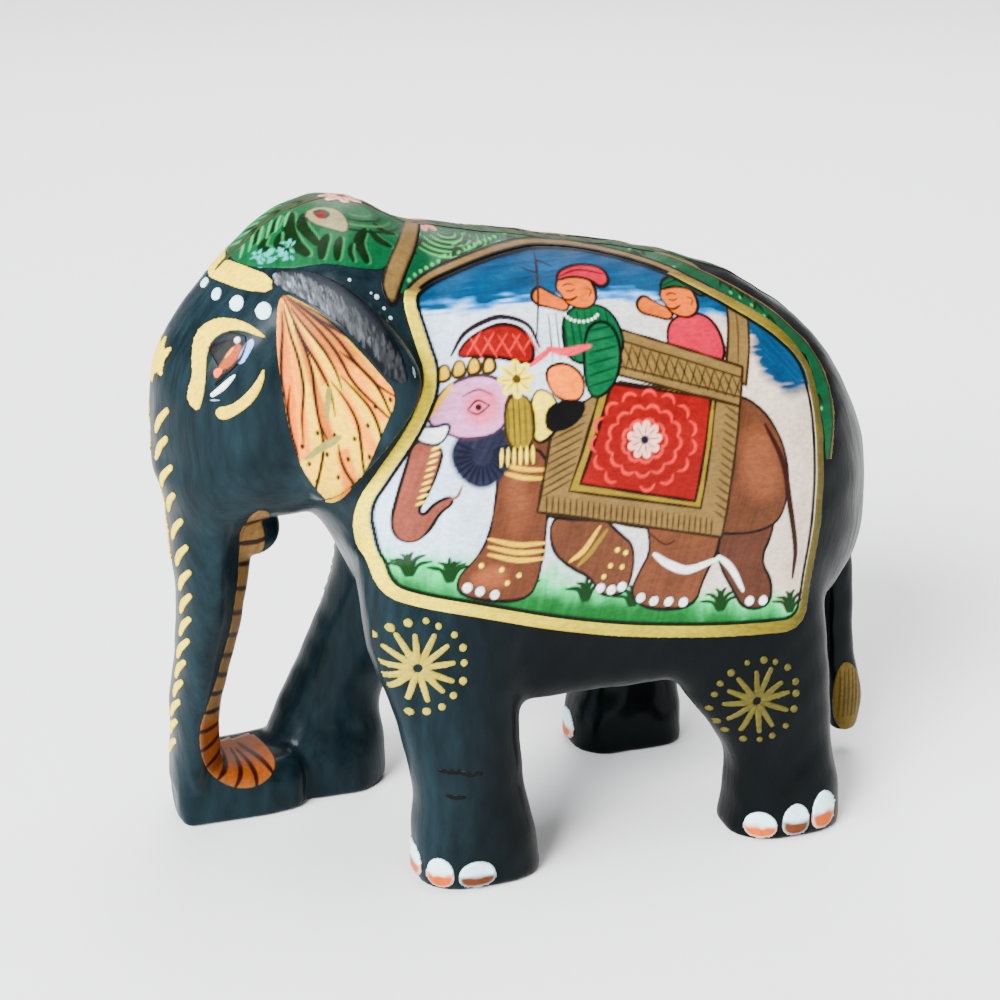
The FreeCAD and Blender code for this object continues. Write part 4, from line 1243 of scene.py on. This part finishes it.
def forehead_band(side, name):
    """Half of the gold band under the cap."""
    s = Sheet((-52, 82), (-30, 93), 0.2)
    s.patch([(-48, 89.6), (-44.3, 90.3), (-42.9, 90.4), (-38.1, 89.4), (-32.8, 88.0), (-32.5, 85.6),
             (-37.2, 85.7), (-42.3, 86.9), (-47.5, 88)],
            (232, 214, 148), high=0.12, vary=0.16, angle=-12, turns=1)
    return s.make("forehead_band_" + name, Canvas(60, 15, side), GOLD_PAINT,
                  once(side, "forehead_band"), keep=lambda p: p.x * side > -0.2)


def trunk_dashes(side, name):
    """Gold dashes down the trunk's front edge. The right row stops where the trunk swings over."""
    s = Sheet((-58, 8), (-38, 92), 0.2)
    upper = [(-43.9, 78), (-44.7, 73.9), (-44.1, 69.4), (-44.1, 63.1), (-43.6, 57.2), (-43.6, 50.9)]
    lower = [(-44.9, 43.1), (-46.6, 36.2), (-49.5, 27.5), (-52.6, 18.3), (-54.4, 12)]
    line = curve(upper + (lower if side > 0 else []), 40)
    spacing = np.concatenate([[0], np.cumsum(np.hypot(*np.diff(line, axis=0).T))])
    for at in np.arange(1.0, spacing[-1], 4.6):
        u, v = (np.interp(at, spacing, line[:, n]) for n in (0, 1))
        mark = [(u - 1.6, v - 2.4), (u - 0.3, v), (u + 1.9, v + 2.2)]
        s.stroke(mark, 1.3, BRIGHT_GOLD, high=0.14, ends=(0.1, 0.7))
    return s.make("trunk_dashes_" + name, Canvas(50, 0, side), GOLD_PAINT,
                  once(side, "trunk_chevrons"), facing=0.25)


def brow_ornament():
    """The notched gold ornament in the middle of the brow."""
    s = Sheet((-8, 78), (8, 92), 0.2)
    star = [(-4.6, 88.6), (-1.6, 87.2), (0, 89.4), (1.6, 87.2), (4.6, 88.6), (3.4, 85.8), (4.4, 83.6),
            (1.6, 84.2), (0, 81.2), (-1.6, 84.2), (-4.4, 83.6), (-3.4, 85.8)]
    s.patch(star, BRIGHT_GOLD, high=0.14, turns=1)
    return s.make("brow_ornament", Canvas(0, 0), GOLD_PAINT)


# ---------------------------------------------------------------- painting: cap, back, strap
def leaf(s, points, wide):
    """A dark leaf with a pale edge."""
    edge = [(u + 0.35, v - 0.1) for u, v in points]
    s.stroke(edge, wide, (96, 160, 110), grow=False, ends=(0.1, 0.6))
    s.stroke(points, wide, DARK_GREEN, grow=False, ends=(0.1, 0.6))


def head_cap(side, name):
    """Half of the green cap over the crown, with dark leaves, pale dabs, a flower and a painted olive
    highlight along its top.
    """
    s = Sheet((-54, 56), (-16, 81), 0.2)
    edge = [(-49.2, 74.4), (-48.9, 68.5), (-47.6, 66), (-45.9, 64.2), (-42.7, 62.3), (-40.4, 61.9),
            (-36.5, 61.5), (-33.2, 60.4), (-28.4, 60.3), (-26.4, 63), (-22.4, 69), (-19.6, 74.4)]
    whole = edge + [(-19, 81), (-52, 81)]
    s.patch(whole, GREEN, high=0.05, vary=0.28, angle=75, turns=1)
    # Painted highlight: the green cap turns olive towards its top, where the light falls.
    painted_top_highlight = 74.6 - 0.09 * (s.u + 36) + 0.7 * lattice(s.u, s.v, 3, 1, 8) - s.v
    s.wash(painted_top_highlight, (104, 110, 78), high=0.05, vary=0.3, angle=10, soft=1.6)
    leaves = (
        ([(-39.7, 73.6), (-41.1, 70), (-41.0, 66.4), (-39.8, 64)], 2.0),
        ([(-38.4, 72.4), (-39.3, 69.2), (-38.1, 65.4)], 1.7),
        ([(-36.2, 66.6), (-37.2, 65.0), (-37.9, 62.8)], 1.5),
        ([(-34.5, 65.8), (-35.3, 64.0), (-35.7, 62.2)], 1.3),
        ([(-30.2, 67.6), (-31.9, 64.8), (-31.4, 61.6)], 1.7),
        ([(-33.0, 64.6), (-33.6, 63.2), (-33.4, 61.6)], 0.8),
        ([(-29.6, 67.4), (-28.6, 65.6), (-27.0, 64.6)], 1.4),
        ([(-28.6, 69.0), (-27.2, 67.6), (-25.6, 67.4)], 1.2),
        ([(-41.4, 73.6), (-42.9, 71.4), (-43.9, 70.6)], 1.3),
        ([(-44.3, 73.2), (-45.3, 70.9), (-45.9, 70.2)], 1.1),
        ([(-44.1, 70.0), (-45.2, 68.4), (-44.5, 67.2)], 1.1),
        ([(-42.4, 69.6), (-43.2, 67.4), (-42.0, 65.4)], 1.1),
    )
    for points, wide in leaves:
        leaf(s, points, wide)
    for k in range(4):
        r = 1.4 + 1.1 * k
        arc = [(-30.4 + 1.5 * r * math.cos(a), 71.6 - r * math.sin(a)) for a in np.linspace(0.2, 2.6, 6)]
        s.stroke(arc, 0.5, DARK_GREEN if k % 2 else (110, 150, 104))
    for k in range(6):
        u = -47.6 + 1.3 * k
        s.stroke([(u - 0.5, 68.6 + 0.4 * k), (u + 0.3, 70.6 + 0.4 * k), (u + 1.1, 73 + 0.2 * k)], 0.42,
                 (128, 190, 146))
    rng = np.random.default_rng(SEED + 5)
    for _ in range(46):
        u, v = rng.uniform(-46.4, -41.4), rng.uniform(63.4, 67.6)
        a = rng.uniform(0.4, 2.8)
        s.stroke([(u, v), (u + 0.8 * math.cos(a), v + 0.8 * math.sin(a))], 0.34, (140, 200, 196))
    flower = [(-38.6, 72.4), (-35.9, 73.4), (-33.3, 71.8), (-32.6, 68.6), (-33.5, 66.2), (-35.9, 67.6),
              (-37.9, 69.2)]
    outlined(s, flower, (186, 178, 152), ink=(90, 96, 70), wide=0.3, turns=1)
    s.patch([(-37.6, 72.2), (-35.6, 72.6), (-34.6, 70.8), (-36.2, 69.4)], (66, 84, 48), turns=1)
    s.patch([(-37.3, 71.5), (-35.6, 71.8), (-35.6, 70.3), (-36.6, 69.8)], (206, 24, 36), turns=1)
    s.trim(whole, 1)
    return s.make("head_cap_" + name, Canvas(90, 45, side), GREEN_PAINT,
                  once(side, "head_cap"), keep=lambda p: p.x * side > -0.3)


def crown_line():
    """The olive line over the crown and along the spine, with a small flower on the crown. The line is paint
    along the top; its olive colour is a painted highlight where the top catches the light.
    """
    s = Sheet((-4.5, -52), (4.5, 48), 0.2)
    # Painted highlight: the olive stands for light on the top edge.
    s.stroke([(0, -50.4), (0.3, -30), (0, 0), (0, 20), (0.2, 44)], 3.4, (88, 104, 70), high=0.03, vary=0.3,
             ends=(0.5, 0.6))
    for k in range(24):
        v = -46 + 3.6 * k
        s.stroke([(-1.2, v), (0.2, v + 1.2), (1.1, v + 0.4)], 0.7, DARK_GREEN, grow=False)
    blossom(s, (0.6, -31.6), 2.7, (220, 200, 188), (206, 40, 48), 7, grow=True)
    return s.make("crown_line", Canvas(0, 90), GREEN_PAINT, lift=0.16)


def back_cloth(side, name):
    """The green strip along the spine and down the rump, with arcs, dots and a tan edge."""
    s = Sheet((-30, 50), (47, 100), 0.22)
    lower = [(-26.4, 85.4)] + PANEL_TOP[::-1] + [(40.6, 71), (41.4, 62), (42.0, 54)]
    upper = SPINE_LINE[::-1] + [(20, 99), (-20, 99), (-26, 94), (-28, 86)]
    strip = lower + upper
    s.patch(strip, (50, 118, 74), high=0.03, vary=0.3, angle=20, turns=0)
    for k in range(5):
        r = 1.0 + 0.85 * k
        arc = [(-16.2 + 1.5 * r * math.cos(a), 95.0 - r * math.sin(a)) for a in np.linspace(0.1, 3.0, 7)]
        s.stroke([(u, v + 0.45) for u, v in arc], 0.55, DARK_GREEN, grow=False)
        s.stroke(arc, 0.34, PALE_GREEN, grow=False)
    for k in range(16):
        at = k / 15
        s.dot((-25 + 17 * at, 87.4 + 6.6 * at**0.8), 0.32, (150, 200, 150), grow=False)
    for k in range(18):
        u = -24 + 2.6 * k
        v = 91.5 + 2.2 * math.sin(2.1 * k) - 0.006 * max(u, 0) ** 2 * 1.6
        s.stroke([(u - 0.9, v - 0.8), (u + 0.3, v + 0.5), (u + 1.2, v + 0.2)], 0.9, DARK_GREEN,
                 grow=False, ends=(0.2, 0.5))
        s.stroke([(u - 0.2, v + 1.2), (u + 0.9, v + 1.6)], 0.3, PALE_GREEN, grow=False)
    blossom(s, (-18.5, 97.4), 1.6, (220, 180, 172), (206, 50, 54), 6)
    for k in range(9):
        at = (k + 0.5) / 9
        u, v = 28 + 14 * at, 83.6 - 22 * at**1.7
        s.stroke([(u - 1.0, v), (u, v + 0.8), (u + 0.8, v - 0.6)], 0.7, DARK_GREEN, grow=False)
        s.dot((u + 0.4, v - 1.4), 0.3, PALE_GREEN, grow=False)
    s.stroke([(20, 90.4)] + SPINE_LINE, 1.5, INK, high=0.06, ends=(0.5, 0.8), grow=False)
    s.stroke([(20, 90.4)] + SPINE_LINE, 1.0, TAN, high=0.12, ends=(0.3, 0.8), grow=False)
    s.edge = np.maximum(s.edge, -polygon_distance(s.u, s.v, rounded(PANEL, 2)) - 0.6)
    return s.make("back_cloth_" + name, Canvas(90, 20, side), GREEN_PAINT,
                  once(side, "back_cloth"), lift=0.04, keep=lambda p: p.x * side > -0.5)


def neck_strap():
    """A tan strap over the neck, outlined in black."""
    s = Sheet((-19, -31), (19, -16), 0.2)
    for side in (1, -1):
        strap = [(0, -20.2), (side * 6, -22.2), (side * 11.3, -24.6), (side * 16.8, -28.4)]
        s.stroke(strap, 2.8, INK, high=0.03, ends=(0.95, 0.9))
        s.stroke(strap, 2.0, TAN, high=0.1, ends=(0.95, 0.8), grow=False)
    return s.make("neck_strap", Canvas(0, 90), TAN_PAINT, ["neck_strap"], lift=0.11)


# ---------------------------------------------------------------- painting: stripes, rosettes, feet
def trunk_stripes():
    """Tan paint with dark bars on the trunk's pared corner, orange towards its foot."""
    s = Sheet((-57, 8), (-38, 64), 0.2)
    strip = [(-51.0, 60.6), (-47.6, 60.2), (-46.2, 56.5), (-46.4, 50), (-47.2, 44.3), (-48.2, 37.3),
             (-49.8, 31.8), (-50.8, 27), (-50.6, 23), (-48.4, 18.6), (-44.6, 16.6), (-40.6, 17.4),
             (-40.2, 13.2), (-42.7, 10.4), (-47.5, 9.6),
             (-52, 12.4), (-55, 17.6), (-55.6, 23.4), (-53.6, 29), (-51.8, 36), (-50.6, 44), (-49.8, 52)]
    s.patch(strip, (176, 138, 88), high=0.05, vary=0.3, angle=80)
    foot = 24 - s.v + 0.6 * lattice(s.u, s.v, 2, 2, 5)
    s.wash(-np.minimum(foot, -s.edge), (190, 110, 62), high=0.05, vary=0.25, angle=80, soft=2)
    line = curve([(-48.6, 60), (-48, 52), (-49, 43), (-50.4, 35), (-52.4, 28), (-53, 21), (-50.4, 15),
                  (-45.6, 12.6), (-40.6, 15)], 24)
    for k in range(4, len(line) - 2, 11):
        a, b = line[k], line[k + 1]
        way = (b - a) / max(np.hypot(*(b - a)), 1e-6)
        across = np.array([-way[1], way[0]])
        s.stroke([a - 2.9 * across, a + 0.4 * way, a + 2.9 * across], 0.9, (66, 34, 20))
    s.trim(strip)
    return s.make("trunk_stripes", Canvas(100, 15), STRIPE_PAINT, ["trunk_stripes"],
                  lift=0.05)


OUTER_LEG = 14                # a rosette stays this far out, mm, so no ray lands on an inner leg


def rosette(side, name, centre, reach, rays, rgb):
    """Rays and a ring of dots."""
    low, high = ([c + sign * (reach + 2) for c in centre] for sign in (-1, 1))
    s = Sheet(low, high, 0.19)
    rng = np.random.default_rng(SEED + rays)
    for k in range(rays):
        a = 2 * math.pi * (k + 0.2 + rng.uniform(-0.16, 0.16)) / rays
        c, d = math.cos(a), math.sin(a)
        r = reach * rng.uniform(0.68, 0.84)
        ray = [(centre[0] + far * c, centre[1] + far * d) for far in (0.8, 0.6 * r, r)]
        s.stroke(ray, 1.05, rgb, high=0.14, ends=(0.3, 0.8), vary=0.25)
    dots = rays + 5
    for k in range(dots):
        a = 2 * math.pi * (k + rng.uniform(-0.15, 0.15)) / dots
        far = reach * rng.uniform(0.98, 1.04)
        u, v = centre[0] + far * math.cos(a), centre[1] + far * math.sin(a)
        s.dot((u, v), rng.uniform(0.5, 0.74), rgb, high=0.2)
    return s.make(name, Canvas(90, 0, side), GOLD_PAINT, [name],
                  keep=lambda p: p.x * side > OUTER_LEG, facing=0.3)


NAILS = {                     # each nail: its middle, foot, width, height and lower colour
    "front_left": [
        (-14.6, 0.8, 3.6, 6.0, NAIL_ORANGE),
        (-9.4, 0.7, 4.6, 5.8, NAIL_ORANGE),
        (-3.6, 0.6, 5.6, 5.0, NAIL_BROWN),
    ],
    "hind_left": [
        (40.4, 0.6, 5.6, 5.0, NAIL_ORANGE),
        (46.2, 0.7, 4.4, 6.2, NAIL_BROWN),
        (50.6, 0.9, 3.6, 7.4, NAIL_ORANGE),
    ],
    "front_right": [
        (-28.4, 0.8, 3.6, 6.0, NAIL_ORANGE),
        (-23.2, 0.7, 4.6, 5.8, NAIL_ORANGE),
        (-17.4, 0.6, 5.4, 5.0, NAIL_BROWN),
    ],
    "hind_right": [
        (21.4, 0.8, 3.6, 6.0, NAIL_ORANGE),
        (26.6, 0.7, 4.6, 5.8, NAIL_BROWN),
        (32.6, 0.6, 5.4, 5.0, NAIL_ORANGE),
    ],
}


def toenails(name, side, nails):
    """Thick dabs: white above, orange below."""
    low_u = min(n[0] for n in nails) - 4
    high_u = max(n[0] for n in nails) + 4
    s = Sheet((low_u, 0.3), (high_u, 11), 0.19)
    for u, base, wide, tall, low_rgb in nails:
        shape = [(u - wide / 2, base), (u - wide / 2, base + 0.7 * tall), (u - 0.1, base + tall),
                 (u + wide / 2, base + 0.7 * tall), (u + wide / 2, base)]
        s.patch(shape, BRUSH_WHITE, high=0.28, vary=0.06, angle=90, turns=2)
        lower = (s.v - base - 0.42 * tall + 0.3 * lattice(s.u, s.v, 0.8, 0.8, 3))
        inside = np.maximum(lower, polygon_distance(s.u, s.v, rounded(shape, 2)))
        s.wash(inside, low_rgb, high=0.26, vary=0.2, angle=90, soft=1.0)
    return s.make(name, Canvas(62, 0, side), WHITE_PAINT, [name])


def tail_tuft(side, name):
    """Half of the gold tuft with its dark hairs."""
    s = Sheet((54, 3), (64, 22), 0.2)
    s.patch([(59.2, 19.6), (57.0, 17.6), (57.0, 10), (58.4, 5.4), (61.4, 4.2), (63.2, 8), (62.6, 15)],
            (168, 138, 74), high=0.08, vary=0.35, angle=85, turns=2)
    hatch(s, 6, (57.8, 17.5), (58.2, 8), (0.8, 0), (0.75, 0), 0.3, (92, 66, 30), grow=False)
    return s.make("tail_tuft_" + name, Canvas(90, 0, side), GOLD_PAINT, once(side, "tail_tuft"))


def scuffs():
    """Old scratches on the left foreleg: dark with pale rims."""
    s = Sheet((-27, 13), (-13, 24), 0.18)
    for u, v, long in ((-24.2, 21.7, 4.2), (-20.6, 20.9, 3.6), (-23.0, 17.1, 3.0)):
        s.stroke([(u, v), (u + long / 2, v - 0.4), (u + long, v - 0.6)], 0.8, (10, 12, 14), high=-0.05)
        s.stroke([(u, v + 0.5), (u + long / 2, v + 0.15), (u + long, v - 0.1)], 0.24, (96, 116, 122),
                 high=0.02, grow=False)
    return s.make("scuffs", Canvas(90, 0), SLATE_PAINT)


# ---------------------------------------------------------------- put together
WOOD = BVHTree.FromPolygons([Vector(p) for p in body_points], [list(map(int, q)) for q in body_quads])
PICTURE_PAINT = brushed_paint("picture_paint", 0.42, 0.6)
GOLD_PAINT = brushed_paint("gold_paint", 0.38, 0.55, spread=0.3)
TAN_PAINT = brushed_paint("tan_paint", 0.4, 0.55, spread=0.3)
EAR_PAINT = brushed_paint("ear_paint", 0.36, 0.52)
WHITE_PAINT = brushed_paint("white_paint", 0.32, 0.5, spread=0.12)
GREEN_PAINT = brushed_paint("green_paint", 0.3, 0.48)
STRIPE_PAINT = brushed_paint("stripe_paint", 0.35, 0.5)
SLATE_PAINT = brushed_paint("slate_paint", 0.4, 0.55, spread=0.2)

own(body, enamel(), ["carved_block"])
for side, name in ((1, "left"), (-1, "right")):
    for paint in (
        head_cap, back_cloth, flank_picture, flank_border, ear_hair, ear_fan, ear_specks,
        eye, brow_marks, forehead_band, trunk_dashes, tail_tuft,
    ):
        paint(side, name)
    # The shoulder rosette is painted a bright gold and the haunch rosette a dark gold: a painted highlight in
    # front, painted shade at the rear.
    rosette(side, "shoulder_rosette_" + name, (-27, 39.4), 7.4, 13, (206, 192, 128))
    haunch = (30.4, 25.9) if side > 0 else (28.5, 28)
    rosette(side, "haunch_rosette_" + name, haunch, 7.2, 12, (136, 120, 62))
crown_line()
neck_strap()
trunk_stripes()
brow_ornament()
scuffs()
for foot, nails in NAILS.items():
    toenails("toenails_" + foot, 1 if foot.endswith("left") else -1, nails)


# ---------------------------------------------------------------- floor, light, camera
def floor():
    """A wide pale floor just under the soles."""
    bpy.ops.mesh.primitive_plane_add(size=40, location=(0, 0, -0.0002))
    plane = bpy.context.object
    plane.name = "floor"
    made, _, shader = start_material("floor")
    shader.inputs["Base Color"].default_value = (0.93, 0.93, 0.93, 1)
    shader.inputs["Roughness"].default_value = 0.9
    plane.data.materials.append(made)


def aimed(data, name, place, towards):
    """A light or camera at this place, turned to look this way."""
    made = bpy.data.objects.new(name, data)
    made.location = place
    made.rotation_mode = "QUATERNION"
    made.rotation_quaternion = towards.to_track_quat("-Z", "Y")
    bpy.context.scene.collection.objects.link(made)
    return made


def lamp(name, place, power, size, colour=(1, 1, 1)):
    """A soft square lamp that looks at the middle of the figure."""
    data = bpy.data.lights.new(name, "AREA")
    data.energy = power
    data.size = size
    data.color = colour
    aimed(data, name, place, Vector((0, 0, 0.05)) - Vector(place))


def sun(place, power, spread):
    """Light from one direction, softened by its wide disc."""
    data = bpy.data.lights.new("sun", "SUN")
    data.energy = power
    data.angle = math.radians(spread)
    aimed(data, "sun", (0, 0, 0), -Vector(place))


def sky_light():
    world = bpy.data.worlds.new("studio")
    bpy.context.scene.world = world
    world.use_nodes = True
    shade = world.node_tree.nodes["Background"]
    shade.inputs["Color"].default_value = (1, 1, 1, 1)
    shade.inputs["Strength"].default_value = 0.36


TARGET = Vector((0, -0.00577, 0.0563))       # what the camera looks at, in metres
TOWARDS_CAMERA = Vector((0.8937, -0.2904, 0.3420)).normalized()
CAMERA_DISTANCE = 0.3379
LENS = 73.47


def camera():
    """The camera, where the photo was taken from."""
    data = bpy.data.cameras.new("camera")
    data.lens = LENS
    data.sensor_width = 36
    data.clip_start = 0.01
    place = TARGET + TOWARDS_CAMERA * CAMERA_DISTANCE
    bpy.context.scene.camera = aimed(data, "camera", place, -TOWARDS_CAMERA)


floor()
sun((0.60, -0.70, 0.56), 9.8, 26)
lamp("front", (0.30, -0.95, 0.40), 13, 0.35, (0.86, 0.96, 1.0))
lamp("top", (-0.1, 0.1, 1.2), 15, 0.6)
lamp("back", (-0.9, 0.3, 0.8), 6, 0.6)
lamp("fill", (1.1, 0.1, 0.5), 2.5, 0.8)
sky_light()
camera()
